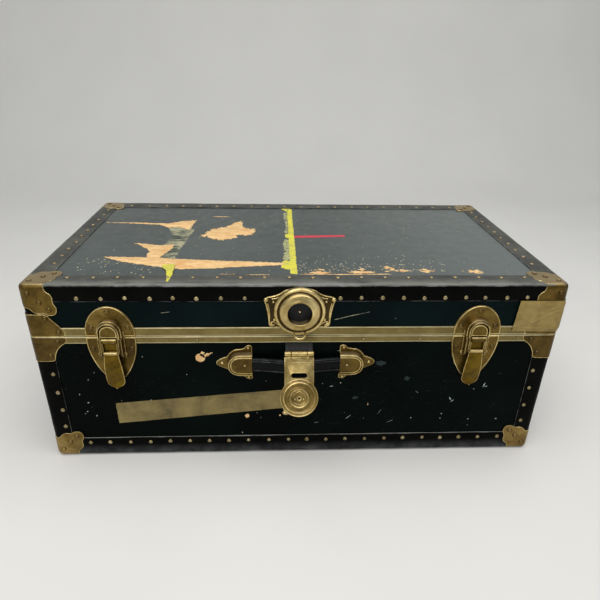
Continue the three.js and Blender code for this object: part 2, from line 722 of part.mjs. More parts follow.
for (const [place, x] of [['left', HINGE_SPREAD], ['right', -HINGE_SPREAD]]) {
  const hinge = new THREE.Group();
  hinge.position.set(x, 0, SEAM);
  backFace.add(hinge);
  addPart(hinge, `${place}_hinge_lid_leaf`, hingeLeaf(1), brass());
  addPart(hinge, `${place}_hinge_base_leaf`, hingeLeaf(-1), brass()).scale.z = -1;
}

// ---- Lid stay ----------------------------------------------------------------------------------

const STAY_WIDTH = 12;
const STAY_SHEET = 1.5;
const STUD = 2.2;
const END_INSIDE = -OUTER_X + PLY;
const HINGE_Y = BACK + HINGE_STANDOFF;

const baseStud = new THREE.Vector2(HINGE_Y + STAY_BASE.back, SEAM + STAY_BASE.up);
const lidStud = new THREE.Vector2(HINGE_Y + STAY_LID.back, SEAM + STAY_LID.up);
const hingeAt = new THREE.Vector2(HINGE_Y, SEAM);
const rivetAt = baseStud.clone().add(lidStud).sub(hingeAt);

// A round bar along X inside the left end, at a [y, z] place.
function stayBar(radius, left, right, at) {
  return barX(radius, left, right, -at.x, at.y, 14);
}

// A flat arm with rounded ends, in the plane x = left to x = left + STAY_SHEET.
function stayArm(from, to, left) {
  const along = to.clone().sub(from);
  const angle = along.angle();
  const shape = new THREE.Shape();
  shape.absarc(0, 0, STAY_WIDTH / 2, Math.PI / 2, 1.5 * Math.PI, false);
  shape.absarc(along.length(), 0, STAY_WIDTH / 2, -Math.PI / 2, Math.PI / 2, false);
  const geometry = new THREE.ExtrudeGeometry(shape, {
    depth: STAY_SHEET, bevelEnabled: false, curveSegments: 6,
  });
  const upright = new THREE.Matrix4().makeBasis(
    new THREE.Vector3(0, 1, 0), new THREE.Vector3(0, 0, 1), new THREE.Vector3(1, 0, 0),
  );
  return geometry.rotateZ(angle).applyMatrix4(upright).translate(left, from.x, from.y);
}

const PLATE_LEFT = END_INSIDE + GAP;
const LOWER_LEFT = PLATE_LEFT + STAY_SHEET + GAP;
const UPPER_LEFT = LOWER_LEFT + STAY_SHEET + 0.8;
const STAY_RIGHT = UPPER_LEFT + STAY_SHEET;

// A bracket is a small plate on the end wall with the stud that an arm turns on.
function stayBracket(at, length) {
  const half = STAY_WIDTH;
  const plate = box([PLATE_LEFT, PLATE_LEFT + STAY_SHEET], [at.x - half, at.x + half],
    [at.y - half, at.y + half]);
  return join(plate, stayBar(STUD, PLATE_LEFT, length, at));
}

function lowerArm() {
  const arm = join(
    stayArm(baseStud, rivetAt, LOWER_LEFT),
    stayBar(STUD, LOWER_LEFT, STAY_RIGHT + 1, rivetAt),
  );
  return cut(arm, stayBar(STUD + GAP, -FAR, FAR, baseStud));
}

function upperArm() {
  return cut(
    stayArm(rivetAt, lidStud, UPPER_LEFT),
    stayBar(STUD + GAP, -FAR, FAR, rivetAt),
    stayBar(STUD + GAP, -FAR, FAR, lidStud),
  );
}

addPart(trunk, 'stay_base_bracket', stayBracket(baseStud, LOWER_LEFT + STAY_SHEET), steel());
addPart(trunk, 'stay_lid_bracket', stayBracket(lidStud, STAY_RIGHT + 1), steel());
addPart(trunk, 'stay_lower_arm', lowerArm(), steel());
addPart(trunk, 'stay_upper_arm', upperArm(), steel());

export default trunk;
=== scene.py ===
"""Steamer trunk: the visual model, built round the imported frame."""
import math
import random

import bmesh
import bpy
from mathutils import Matrix, Vector, noise


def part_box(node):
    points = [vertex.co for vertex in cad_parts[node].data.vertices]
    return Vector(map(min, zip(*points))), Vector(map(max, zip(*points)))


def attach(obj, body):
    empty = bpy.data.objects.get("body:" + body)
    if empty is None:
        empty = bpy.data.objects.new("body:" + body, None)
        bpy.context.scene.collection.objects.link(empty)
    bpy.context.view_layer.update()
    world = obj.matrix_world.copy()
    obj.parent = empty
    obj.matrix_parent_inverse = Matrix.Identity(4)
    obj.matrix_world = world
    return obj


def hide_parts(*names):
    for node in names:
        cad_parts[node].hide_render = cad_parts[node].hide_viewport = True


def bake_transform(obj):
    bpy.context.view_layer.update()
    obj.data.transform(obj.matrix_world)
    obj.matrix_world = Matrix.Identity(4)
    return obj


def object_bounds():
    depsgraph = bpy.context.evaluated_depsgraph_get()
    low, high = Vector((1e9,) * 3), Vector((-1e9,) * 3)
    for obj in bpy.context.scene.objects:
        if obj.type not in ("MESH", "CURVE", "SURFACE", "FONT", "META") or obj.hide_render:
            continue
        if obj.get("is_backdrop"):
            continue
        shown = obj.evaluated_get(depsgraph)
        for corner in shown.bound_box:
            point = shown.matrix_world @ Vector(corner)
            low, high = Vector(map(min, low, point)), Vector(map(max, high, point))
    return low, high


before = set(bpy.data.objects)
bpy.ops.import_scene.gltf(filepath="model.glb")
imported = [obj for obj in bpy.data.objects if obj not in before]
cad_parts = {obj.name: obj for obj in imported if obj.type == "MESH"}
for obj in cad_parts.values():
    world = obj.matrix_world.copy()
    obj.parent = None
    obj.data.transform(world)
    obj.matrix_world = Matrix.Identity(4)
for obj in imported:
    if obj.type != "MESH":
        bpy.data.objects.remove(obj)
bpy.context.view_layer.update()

MM = 0.001

# ---- The case's faces ---------------------------------------------------------------------------
# Shapes are drawn in millimetres in a face's own frame: x along the face, -y outwards, z up. A
# stand-off is a distance outwards from the case's nominal face, which is the caps' outer face.

LEFT, FRONT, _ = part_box("base_corner_cap_front_left")[0] / MM
RIGHT, BACK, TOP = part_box("lid_corner_cap_back_right")[1] / MM
HALF_WIDTH, HALF_DEPTH = (RIGHT - LEFT) / 2, (BACK - FRONT) / 2
MIDDLE_Y = (FRONT + BACK) / 2
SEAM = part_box("lid_valance")[0].z / MM - 0.3
PANEL = -2.8
SKIN = -1.3


def upright(x, y, turn):
    """The frame of an upright face through (x, y), turned about z."""
    return Matrix.Scale(MM, 4) @ Matrix.Translation((x, y, 0)) @ Matrix.Rotation(
        math.radians(turn), 4, "Z")


WORLD = Matrix.Scale(MM, 4)
IN_METRES = Matrix.Identity(4)
FACE = {
    "front": upright(0, FRONT, 0),
    "back": upright(0, BACK, 180),
    "left": upright(LEFT, MIDDLE_Y, -90),
    "right": upright(RIGHT, MIDDLE_Y, 90),
    "top": WORLD @ Matrix.Translation((0, 0, TOP)) @ Matrix.Rotation(math.radians(-90), 4, "X"),
    "bottom": WORLD @ Matrix.Rotation(math.radians(90), 4, "X"),
}


# ---- Outlines -----------------------------------------------------------------------------------

class Outline:
    """An outline in a face's (x, z) plane, anticlockwise seen from outside."""

    def __init__(self, x, z):
        self.points = [Vector((x, z))]

    def line(self, x, z):
        self.points.append(Vector((x, z)))
        return self

    def curve(self, *controls, steps=8):
        """A quadratic or cubic curve: its controls and then its end, as x, z, x, z, ..."""
        pts = [self.points[-1]] + [Vector(controls[i:i + 2]) for i in range(0, len(controls), 2)]
        for step in range(1, steps + 1):
            row, t = pts, step / steps
            while len(row) > 1:
                row = [a.lerp(b, t) for a, b in zip(row, row[1:])]
            self.points.append(row[0])
        return self

    def arc(self, x, z, radius, start, end, steps):
        """An arc about (x, z) from one angle to another, in degrees."""
        for step in range(steps + 1):
            angle = math.radians(start + (end - start) * step / steps)
            point = Vector((x + radius * math.cos(angle), z + radius * math.sin(angle)))
            if (point - self.points[-1]).length > 0.02:
                self.points.append(point)
        return self

    def done(self):
        """The closed outline's points, without a second copy of the first."""
        if (self.points[0] - self.points[-1]).length < 0.02:
            self.points.pop()
        return self.points


def circle(x, z, radius, steps):
    """A round outline."""
    return Outline(x + radius, z).arc(x, z, radius, 0, 360, steps).done()


def offset(points, inset, flat_x=None):
    """The outline moved inwards. Points on the line x = flat_x stay on it."""
    moved = []
    for i, p in enumerate(points):
        a = (p - points[i - 1]).normalized()
        b = (points[(i + 1) % len(points)] - p).normalized()
        across_a, across_b = Vector((-a.y, a.x)), Vector((-b.y, b.x))
        middle = across_a + across_b
        middle = middle.normalized() if middle.length > 1e-6 else across_a
        q = p + middle * (inset / max(middle.dot(across_a), 0.5))
        if flat_x is not None and abs(p.x - flat_x) < 1e-3:
            q.x = flat_x
        moved.append(q)
    return moved


# ---- Solids -------------------------------------------------------------------------------------
# Every solid is a bmesh. Material 0 is its face and material 1 its worn edge, on brass also a
# painted highlight.

def outward(bm):
    """Turns every face outwards."""
    bmesh.ops.recalc_face_normals(bm, faces=bm.faces)
    return bm


def relief(outer, levels, holes=(), hole_levels=None, flat_x=None):
    """A plate whose walls follow the outline through (inset, stand-off, material) levels."""
    bm = bmesh.new()
    ends = ([], [])

    def walls(points, steps, sign):
        rings = []
        for level in steps:
            ring = offset(points, sign * level[0], flat_x) if level[0] else points
            rings.append([bm.verts.new((p.x, -level[1], p.y)) for p in ring])
        for k in range(len(rings) - 1):
            low, high = rings[k], rings[k + 1]
            for i in range(len(low)):
                j = (i + 1) % len(low)
                face = bm.faces.new((low[i], low[j], high[j], high[i]))
                face.material_index = steps[k + 1][2] if len(steps[k + 1]) > 2 else 0
        ends[0].append(rings[0])
        ends[1].append(rings[-1])

    walls(outer, levels, 1)
    for hole in holes:
        walls(hole, hole_levels or [(0, levels[0][1]), (0, levels[-1][1])], -1)
    for rings in ends:
        if not holes:
            bm.faces.new(rings[0])
            continue
        edges = [bm.edges.get((ring[i - 1], ring[i])) for ring in rings for i in range(len(ring))]
        bmesh.ops.triangle_fill(bm, use_beauty=True, use_dissolve=False, edges=edges)
    return outward(bm)


def skin(rows, close_rows=False, close_columns=False, cap=False, materials=None):
    """Quads over a grid of points; `materials` gives one index per column."""
    bm = bmesh.new()
    verts = [[bm.verts.new(p) for p in row] for row in rows]
    count, wide = len(verts), len(verts[0])
    for i in range(count if close_rows else count - 1):
        for j in range(wide if close_columns else wide - 1):
            a, b = verts[i], verts[(i + 1) % count]
            k = (j + 1) % wide
            face = bm.faces.new((a[j], a[k], b[k], b[j]))
            if materials:
                face.material_index = materials[j]
    if cap:
        bm.faces.new(verts[0])
        bm.faces.new(verts[-1])
    return outward(bm)


def revolve(profile, x=0, z=0, steps=28):
    """A turned shape about the outward direction, from (radius, stand-off, material) points."""
    bm = bmesh.new()
    rings = []
    for point in profile:
        radius, out = point[0], point[1]
        if radius < 1e-6:
            rings.append([bm.verts.new((x, -out, z))])
            continue
        angles = [2 * math.pi * i / steps for i in range(steps)]
        rings.append([bm.verts.new((x + radius * math.cos(a), -out, z + radius * math.sin(a)))
                      for a in angles])
    pairs = list(zip(rings, rings[1:], profile[1:]))
    if len(rings[0]) > 1 and len(rings[-1]) > 1:
        pairs.append((rings[-1], rings[0], profile[0]))
    for low, high, point in pairs:
        for i in range(steps):
            j = (i + 1) % steps
            loop = [low[i % len(low)], low[j % len(low)], high[j % len(high)], high[i % len(high)]]
            face = bm.faces.new(list(dict.fromkeys(loop)))
            face.material_index = point[2] if len(point) > 2 else 0
    return outward(bm)


def dome(x, z, radius, height, base, steps=14):
    """A nail head; its rounded top is in material 1."""
    return revolve([
        (0, base - 0.4), (radius, base - 0.4), (radius, base + height * 0.12),
        (radius * 0.9, base + height * 0.45), (radius * 0.68, base + height * 0.78, 1),
        (radius * 0.36, base + height * 0.96, 1), (0, base + height, 1),
    ], x, z, steps)


def rivet(x, z, radius, base):
    """A flat-topped rivet in a dark recessed ring (material 2)."""
    return revolve([
        (0, base - 0.5), (radius + 0.9, base - 0.5), (radius + 0.9, base + 0.1, 2),
        (radius + 0.2, base + 0.06, 2), (radius, base + 0.3, 2), (radius * 0.93, base + 0.8, 0),
        (radius * 0.72, base + 1.15, 0), (radius * 0.3, base + 1.3, 0), (0, base + 1.32, 0),
    ], x, z, 18)


def bar(radius, left, right, out, z, edge=0.5, material=0):
    """A round bar along x with eased ends."""
    rows, steps = [], 20
    for at, r in [(left, radius - edge), (left + edge, radius), (right - edge, radius),
                  (right, radius - edge)]:
        rows.append([(at, -out + r * math.cos(a), z + r * math.sin(a))
                     for a in [2 * math.pi * i / steps for i in range(steps)]])
    return skin(rows, close_columns=True, cap=True, materials=[material] * steps)


def bevel(bm, edges, width, material):
    """Rounds the given edges in a material."""
    bmesh.ops.bevel(bm, geom=edges, offset=width, offset_type="OFFSET", segments=2,
                    profile=0.5, affect="EDGES", clamp_overlap=True, material=material)
    return bm


def ease(bm, width, material=1):
    """Rounds every sharp edge."""
    limit = math.radians(35)
    edges = [e for e in bm.edges if len(e.link_faces) == 2 and e.calc_face_angle(0) > limit]
    return bevel(bm, edges, width, material)


def block(x, out, z, width=0.5, material=1):
    """A box between pairs of x, stand-off and z, with rounded edges."""
    bm = bmesh.new()
    bmesh.ops.create_cube(bm, size=1)
    for v in bm.verts:
        v.co = Vector((x[0] if v.co.x < 0 else x[1], -out[0] if v.co.y > 0 else -out[1],
                       z[0] if v.co.z < 0 else z[1]))
    return ease(outward(bm), width, material)


def mirrored(near, far):
    """The spans of x between two distances, on each side of the middle."""
    return [(-far, -near), (near, far)]


def profile_bar(points, left, right, width=0.5):
    """A side profile of (stand-off, height) points, solid from x = left to x = right."""
    rows = [[(x, -out, up) for out, up in points] for x in (left, right)]
    return ease(skin(rows, close_columns=True, cap=True), width)


def ridge(path, radius, base, material=1):
    """A half-round bead of `radius` along (x, z) points, lying on the stand-off `base`."""
    rows, sides = [], 8
    path = [Vector(p) for p in path]
    for i, p in enumerate(path):
        along = (path[min(i + 1, len(path) - 1)] - path[max(i - 1, 0)]).normalized()
        across = Vector((-along.y, along.x))
        row = []
        for k in range(sides + 1):
            a = math.pi * k / sides
            at = p + across * (radius * math.cos(a))
            row.append((at.x, -(base + radius * math.sin(a)), at.y))
        row += [(row[-1][0], -(base - 0.3), row[-1][2]), (row[0][0], -(base - 0.3), row[0][2])]
        rows.append(row)
    return skin(rows, close_columns=True, cap=True, materials=[material] * len(rows[0]))


def tube(points, radius, steps=12, material=0):
    """A round rod through points."""
    rows = []
    reference = Vector((0, 0, 1))
    for i, p in enumerate(points):
        along = (points[min(i + 1, len(points) - 1)] - points[max(i - 1, 0)]).normalized()
        if abs(along.dot(reference)) > 0.9:
            reference = Vector((1, 0, 0))
        side = along.cross(reference).normalized()
        up = side.cross(along)
        rows.append([p + side * (radius * math.cos(a)) + up * (radius * math.sin(a))
                     for a in [2 * math.pi * k / steps for k in range(steps)]])
    return skin(rows, close_columns=True, cap=True, materials=[material] * steps)


def merge(*solids):
    """All the solids in one bmesh."""
    whole = bmesh.new()
    for solid in solids:
        mesh = bpy.data.meshes.new("part")
        solid.to_mesh(mesh)
        solid.free()
        whole.from_mesh(mesh)
        bpy.data.meshes.remove(mesh)
    return whole


def moved(bm, matrix):
    """The solid put through a matrix, its faces still outwards when it is mirrored."""
    bmesh.ops.transform(bm, matrix=matrix, verts=bm.verts)
    if matrix.determinant() < 0:
        bmesh.ops.reverse_faces(bm, faces=bm.faces)
    return bm


def thicken(bm, thickness, edge=0.3):
    """Gives an open sheet its back and a rounded rim in material 1."""
    bm.normal_update()
    faces, verts = list(bm.faces), list(bm.verts)
    rims = [(e.link_loops[0].vert, e.link_loops[0].link_loop_next.vert, e)
            for e in bm.edges if e.is_boundary]
    back = {v: bm.verts.new(v.co - v.normal * thickness) for v in verts}
    for face in faces:
        bm.faces.new([back[v] for v in reversed(face.verts)])
    for a, b, _ in rims:
        bm.faces.new((b, a, back[a], back[b])).material_index = 1
    return bevel(bm, [e for _, _, e in rims], edge, 1) if edge else bm


def piece(name, bm, body, materials, where=WORLD, replaces=(), smooth=32, ride=True):
    """The solid as an object on its body; edges over `smooth` degrees stay sharp."""
    moved(bm, where)
    mesh = bpy.data.meshes.new(name)
    bm.to_mesh(mesh)
    bm.free()
    for mat in materials:
        mesh.materials.append(mat)
    mesh.shade_smooth()
    for face in mesh.polygons:
        face.use_smooth = len(face.vertices) <= 4
    mesh.set_sharp_from_angle(angle=math.radians(smooth))
    obj = bpy.data.objects.new(name, mesh)
    bpy.context.scene.collection.objects.link(obj)
    if ride:
        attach(obj, body)
    if replaces:
        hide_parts(*replaces)
    return obj


# ---- Materials ----------------------------------------------------------------------------------

def colour(red, green, blue):
    """Linear colour from display values of 0 to 255."""
    linear = [((c / 255 + 0.055) / 1.055) ** 2.4 if c > 10 else c / 255 / 12.92
              for c in (red, green, blue)]
    return (*linear, 1.0)


class Shader:
    """A Principled material and short calls for its nodes."""

    def __init__(self, name, **constants):
        self.material = bpy.data.materials.new(name)
        self.material.use_nodes = True
        self.tree = self.material.node_tree
        self.bsdf = self.tree.nodes["Principled BSDF"]
        self.set(**constants)

    def set(self, **values):
        for key, value in values.items():
            name = {"ior": "IOR", "specular": "Specular IOR Level"}.get(
                key, key.replace("_", " ").title())
            self.put(self.bsdf.inputs[name], value)

    def put(self, socket, value):
        if isinstance(value, bpy.types.NodeSocket):
            self.tree.links.new(value, socket)
        else:
            socket.default_value = value

    def node(self, kind, inputs, out=0, **props):
        made = self.tree.nodes.new("ShaderNode" + kind)
        for key, value in props.items():
            setattr(made, key, value)
        for key, value in inputs.items():
            self.put(made.inputs[key], value)
        return made.outputs[out]

    def place(self, stretch=(1, 1, 1), turn=(0, 0, 0)):
        at = self.node("TexCoord", {}, out="Object")
        return self.node("Mapping", {"Vector": at, "Scale": stretch, "Rotation": turn})

    def noise(self, scale, detail=4, roughness=0.5, distortion=0, stretch=(1, 1, 1)):
        return self.node("TexNoise", {
            "Vector": self.place(stretch), "Scale": scale, "Detail": detail,
            "Roughness": roughness, "Distortion": distortion})

    def cells(self, scale, stretch=(1, 1, 1)):
        return self.node("TexVoronoi", {"Vector": self.place(stretch), "Scale": scale})

    def wave(self, scale, turn=(0, 0, 0), distortion=0, detail_scale=1):
        return self.node("TexWave", {
            "Vector": self.place(turn=turn), "Scale": scale, "Distortion": distortion,
            "Detail Scale": detail_scale}, out="Fac")

    def span(self, value, low, high, start=0.0, end=1.0):
        return self.node("MapRange", {
            "Value": value, "From Min": low, "From Max": high, "To Min": start, "To Max": end},
            interpolation_type="SMOOTHSTEP")

    def math(self, operation, a, b=0.0):
        return self.node("Math", {0: a, 1: b}, operation=operation)

    def times(self, first, *others):
        for other in others:
            first = self.math("MULTIPLY", first, other)
        return first

    def plus(self, a, b):
        return self.math("ADD", a, b)

    def mix(self, factor, a, b):
        """From `a` to `b`; each is a socket, a display colour or a linear one with its alpha."""
        a, b = (colour(*c) if isinstance(c, tuple) and len(c) == 3 else c for c in (a, b))
        return self.node("Mix", {0: factor, 6: a, 7: b}, out=2, data_type="RGBA")

    def layer(self, base, over, *amounts):
        """`over` laid on `base` by the product of the amounts."""
        return self.mix(self.times(*amounts), base, over)

    def facing_up(self, low, high):
        """Where the surface at rest faces up, going from 0 at `low` to 1 at `high`."""
        way = self.node("TexCoord", {}, out="Normal")
        return self.span(self.node("SeparateXYZ", {0: way}, out="Z"), low, high)

    def coordinate(self, axis):
        """A point's place along an axis at rest, in metres."""
        return self.node("SeparateXYZ", {0: self.node("TexCoord", {}, out="Object")}, out=axis)

    def bump(self, height, distance, strength):
        self.put(self.bsdf.inputs["Normal"], self.node("Bump", {
            "Height": height, "Distance": distance, "Strength": strength}))


def paint_shader(name, wood_ends, shine, deep, worn):
    """Dark green enamel on fibreboard: scuffs, specks, dust with a painted sheen on faces that look
    up, brighter towards the right end as a painted reflection, and raw plywood on cut ends.
    """
    s = Shader(name, specular=shine)
    base = s.mix(s.span(s.noise(9, 6, 0.6), 0.35, 0.75), deep, worn)
    # Faces that look up turn paler grey-green: dust and a painted sheen, brighter towards the right
    # end as a painted reflection.
    dust_and_sheen = s.mix(s.span(s.noise(5, 5, 0.6), 0.3, 0.8), (66, 74, 72), (80, 87, 85))
    dust_and_sheen = s.layer(dust_and_sheen, (99, 106, 104), s.span(s.coordinate("X"), 0.02, 0.36), 0.8)
    base = s.layer(base, dust_and_sheen, s.facing_up(0.5, 0.95))
    rub = s.times(s.span(s.noise(420, 3, 0.7, 0.4), 0.6, 0.72),
                  s.span(s.noise(14, 5, 0.65), 0.5, 0.72))
    base = s.layer(base, (96, 104, 98), rub, 0.22)
    streak = s.times(s.span(s.noise(90, 2, 0.5, 0.3, (1, 14, 14)), 0.68, 0.74),
                     s.span(s.noise(6, 3), 0.5, 0.62))
    base = s.layer(base, (120, 128, 120), streak, 0.16)
    speck = s.times(s.span(s.cells(75), 0.085, 0.045), s.span(s.noise(26, 3, 0.6), 0.52, 0.6))
    base = s.layer(base, (196, 192, 176), speck)
    rough = s.span(s.noise(60, 5, 0.6), 0.2, 0.8, 0.3, 0.46)
    if wood_ends:
        layers = s.wave(170, distortion=1.2, detail_scale=3)
        ends = s.plus(s.facing_up(0.7, 0.9), s.facing_up(-0.7, -0.9))
        base = s.layer(base, s.mix(layers, (150, 118, 76), (196, 166, 118)), ends)
        rough = s.plus(rough, s.times(ends, 0.3))
    s.set(base_color=base, roughness=rough)
    s.bump(s.plus(s.noise(240, 4, 0.6), s.times(s.noise(16, 3), 1.2)), 0.00008, 0.4)
    return s.material


def fibre_shader(name, edge):
    """Black vulcanised fibre, paler grey where it looks up with dust and a painted sheen; on its
    edges it is rubbed down to a pale grey.
    """
    s = Shader(name, specular=0.04)
    # The paler greys for faces that look up: dust and a painted sheen of the bright room.
    dust_sheen_low, dust_sheen_high = ((82, 83, 80), (118, 118, 110)) if edge else ((66, 67, 65), (92, 92, 86))
    base = s.mix(s.span(s.noise(24, 6, 0.65), 0.35, 0.75), (1, 2, 1), (7, 7, 6))
    up_facing = s.facing_up(0.3, 0.95)
    base = s.layer(base, s.mix(s.span(s.noise(30, 6, 0.7), 0.3, 0.75), dust_sheen_low, dust_sheen_high), up_facing)
    splashed = s.mix(s.span(s.noise(40, 5, 0.6), 0.3, 0.7), (44, 46, 47), (88, 90, 90))
    base = s.layer(base, splashed, s.span(s.coordinate("Z"), 0.024, 0.003), 0.75)
    base = s.layer(base, (124, 125, 118), s.span(s.coordinate("Y"), -0.162, -0.184), up_facing,
                   s.span(s.noise(50, 6, 0.7, 0, (0.3, 1, 1)), 0.3, 0.6), 0.8)
    scuff = s.span(s.noise(120, 8, 0.75, 0.6), 0.6 if edge else 0.66, 0.74)
    base = s.layer(base, (120, 112, 98), scuff, 0.6 if edge else 0.25)
    if edge:
        rubbed = s.span(s.noise(46, 8, 0.75, 0.5, (0.4, 1, 1)), 0.4, 0.66)
        base = s.layer(base, (134, 136, 132), rubbed, 0.8)
    s.set(base_color=base, roughness=s.span(s.noise(70, 5), 0.25, 0.8, 0.36, 0.56))
    s.bump(s.plus(s.noise(300, 5, 0.7), s.times(s.noise(40, 4), 2.0)), 0.00022, 0.6)
    return s.material


BROWN, BRASS_DUST_AND_SHEEN = (40, 27, 9), (186, 166, 126)


def brass_shader(name, dark, mid, light, tarnish, grain=1.0, roughness=(0.3, 0.5),
                 metallic=0.85):
    """Aged brass: brown tarnish in patches, pits, finer rubbed places, and a paler tone where it
    looks up, dust and a painted sheen.
    """
    s = Shader(name, metallic=metallic)
    base = s.mix(s.span(s.noise(38 * grain, 7, 0.68, 0.4), 0.32, 0.7), mid, light)
    base = s.layer(base, dark, s.span(s.noise(17 * grain, 6, 0.7, 0.8), 0.42, 0.7), tarnish)
    base = s.layer(base, dark, s.span(s.noise(500, 3, 0.6), 0.62, 0.72), 0.65)
    # Where it looks up: dust and a painted sheen.
    base = s.layer(base, BRASS_DUST_AND_SHEEN, s.facing_up(0.6, 0.98), 0.7)
    s.set(base_color=base, roughness=s.span(s.noise(85, 6, 0.65), 0.25, 0.75, *roughness))
    s.bump(s.plus(s.noise(340, 5, 0.65), s.times(s.noise(60, 4, 0.6), 3.0)), 0.00016, 0.55)
    return s.material


def leather_shader(name, dark, light):
    """Cracked leather."""
    s = Shader(name, specular=0.12)
    base = s.mix(s.span(s.noise(70, 6, 0.65), 0.35, 0.75), dark, light)
    cracks = s.span(s.cells(420, (0.6, 1, 1.4)), 0.12, 0.4)
    s.set(base_color=s.mix(cracks, dark, base),
          roughness=s.span(s.noise(120, 4), 0.3, 0.7, 0.38, 0.6))
    s.bump(s.plus(cracks, s.noise(900, 3)), 0.00016, 0.7)
    return s.material


def torn_board_shader():
    """The pale core of the fibreboard where its painted face is torn away."""
    s = Shader("torn_board", specular=0.25, roughness=0.85)
    fibres = s.noise(240, 5, 0.7, 0.5, (0.22, 1, 1))
    base = s.mix(s.span(fibres, 0.3, 0.7), (206, 162, 104), (242, 208, 154))
    s.set(base_color=s.layer(base, (214, 150, 92), s.span(s.noise(40, 5, 0.6), 0.5, 0.85)))
    s.bump(fibres, 0.0003, 0.8)
    return s.material


def torn_skin_shader():
    """Where the paint tore thinly: board fibres over grey-green paint."""
    s = Shader("torn_skin", specular=0.3, roughness=0.7)
    streaks = s.noise(210, 5, 0.75, 0.6, (0.25, 1.4, 1))
    patches = s.plus(s.times(streaks, 0.7), s.times(s.noise(30, 3), 0.4))
    s.set(base_color=s.mix(s.span(patches, 0.47, 0.66), (58, 68, 64), (176, 172, 140)))
    s.bump(streaks, 0.0002, 0.7)
    return s.material


def paper_shader(name, light, dark, roughness, scale, crease=0.0):
    """A mottled paper or paint film; `crease` adds fine cross wrinkles."""
    s = Shader(name, specular=0.35, roughness=roughness)
    base = s.mix(s.span(s.noise(scale, 6, 0.65, 0.4), 0.34, 0.72), light, dark)
    s.set(base_color=s.layer(base, dark, s.span(s.noise(330, 4, 0.7), 0.58, 0.72), 0.35))
    height = s.noise(420, 4, 0.6)
    if crease:
        height = s.plus(height, s.times(s.noise(150, 4, 0.6, 0.8, (0.4, 1, 2.2)), crease))
    s.bump(height, 0.00014, 0.6)
    return s.material


def lining_shader():
    """Cream lining paper with a small printed check, browned by age."""
    s = Shader("lining_paper", specular=0.25, roughness=0.85)
    lines = s.math("MAXIMUM", s.span(s.wave(52, (0, 0, 0.785)), 0.9, 0.97),
                   s.span(s.wave(52, (0, 0.785, -0.785)), 0.9, 0.97))
    base = s.mix(s.span(s.noise(7, 6, 0.6), 0.35, 0.8), (214, 202, 172), (178, 158, 118))
    base = s.layer(base, (112, 122, 122), lines, 0.55)
    foxing = s.span(s.noise(34, 6, 0.7), 0.62, 0.78)
    s.set(base_color=s.layer(base, (138, 104, 66), foxing, 0.5))
    s.bump(s.noise(260, 4), 0.00015, 0.5)
    return s.material


def stage_shader(name, tint):
    """A dull cloth, a little uneven in its shade."""
    s = Shader(name, specular=0.2, roughness=0.9)
    shade = (*[c * 0.97 for c in tint[:3]], 1)
    s.set(base_color=s.mix(s.span(s.noise(3, 3), 0.3, 0.7), tint, shade))
    return s.material


PAINT = paint_shader("green_enamel", False, 0.3, (6, 15, 16), (17, 31, 31))
BASE_WALL = paint_shader("green_enamel_base", True, 0.03, (1, 5, 4), (4, 13, 11))
LID_WALL = paint_shader("green_enamel_lid", True, 0.04, (2, 13, 14), (7, 23, 24))
FIBRE_SET = [fibre_shader("black_fibre", False), fibre_shader("black_fibre_edge", True)]
# The second leather, on the beads' crests, is a lighter grey as a painted highlight.
LEATHER_SET = [leather_shader("handle_leather", (1, 2, 3), (9, 11, 12)),
               leather_shader("leather_bead_painted_highlight", (28, 30, 34), (84, 86, 88))]
LINING = lining_shader()

# Brass: each one's tarnish, body and rubbed colours, and how much of it is tarnished.
AGED = brass_shader("aged_brass_sheet", BROWN, (84, 66, 22), (122, 98, 44), 0.65)
KEEPER = brass_shader("keeper_brass", BROWN, (100, 80, 32), (142, 117, 58), 0.6)
CLAMP = brass_shader("dark_clamp_brass", BROWN, (68, 53, 18), (104, 82, 36), 0.7)
BASE_CAP = brass_shader("worn_base_cap_brass", BROWN, (116, 92, 42), (168, 142, 84), 0.5)
DISC_FLAT = brass_shader("hasp_disc_brass", (70, 52, 20), (120, 98, 48), (160, 136, 78), 0.5)
RING = brass_shader("lock_ring_brass", (112, 90, 42), (178, 156, 98), (222, 200, 140), 0.4,
                    roughness=(0.24, 0.42))
PLATE = brass_shader("lock_plate_brass", (40, 28, 10), (80, 63, 30), (118, 97, 52), 0.65)
# Rims and dome tops: rubbed brass, made brighter still as a painted highlight.
EDGE = brass_shader("rubbed_brass_edge_painted_highlight", (96, 72, 28), (178, 152, 88), (236, 214, 150), 0.5,
                    roughness=(0.22, 0.38))
PALE = brass_shader("pale_valance_brass", (78, 63, 30), (117, 101, 53), (139, 123, 72), 0.4,
                    grain=0.8, metallic=0.7, roughness=(0.34, 0.52))
# The valances' rolled edges: rubbed, and brightened as a painted highlight.
PALE_EDGE = brass_shader("pale_valance_edge", (130, 118, 78), (186, 174, 130), (214, 204, 164),
                         0.35, metallic=0.7)
LOCK = brass_shader("lock_brass", (104, 82, 38), (164, 142, 84), (206, 184, 124), 0.42,
                    roughness=(0.24, 0.42))
GROOVE = brass_shader("tarnished_groove", (30, 20, 8), (58, 44, 20), (84, 66, 32), 0.7,
                      roughness=(0.45, 0.65))
LEVER = brass_shader("olive_lever_brass", (46, 34, 4), (82, 63, 7), (115, 91, 16), 0.55,
                     roughness=(0.26, 0.44))
# The lever spoon's rim: brightened as a painted highlight.
LEVER_EDGE = brass_shader("olive_lever_edge", (60, 46, 12), (126, 102, 42), (172, 146, 78), 0.55,
                          roughness=(0.26, 0.4))
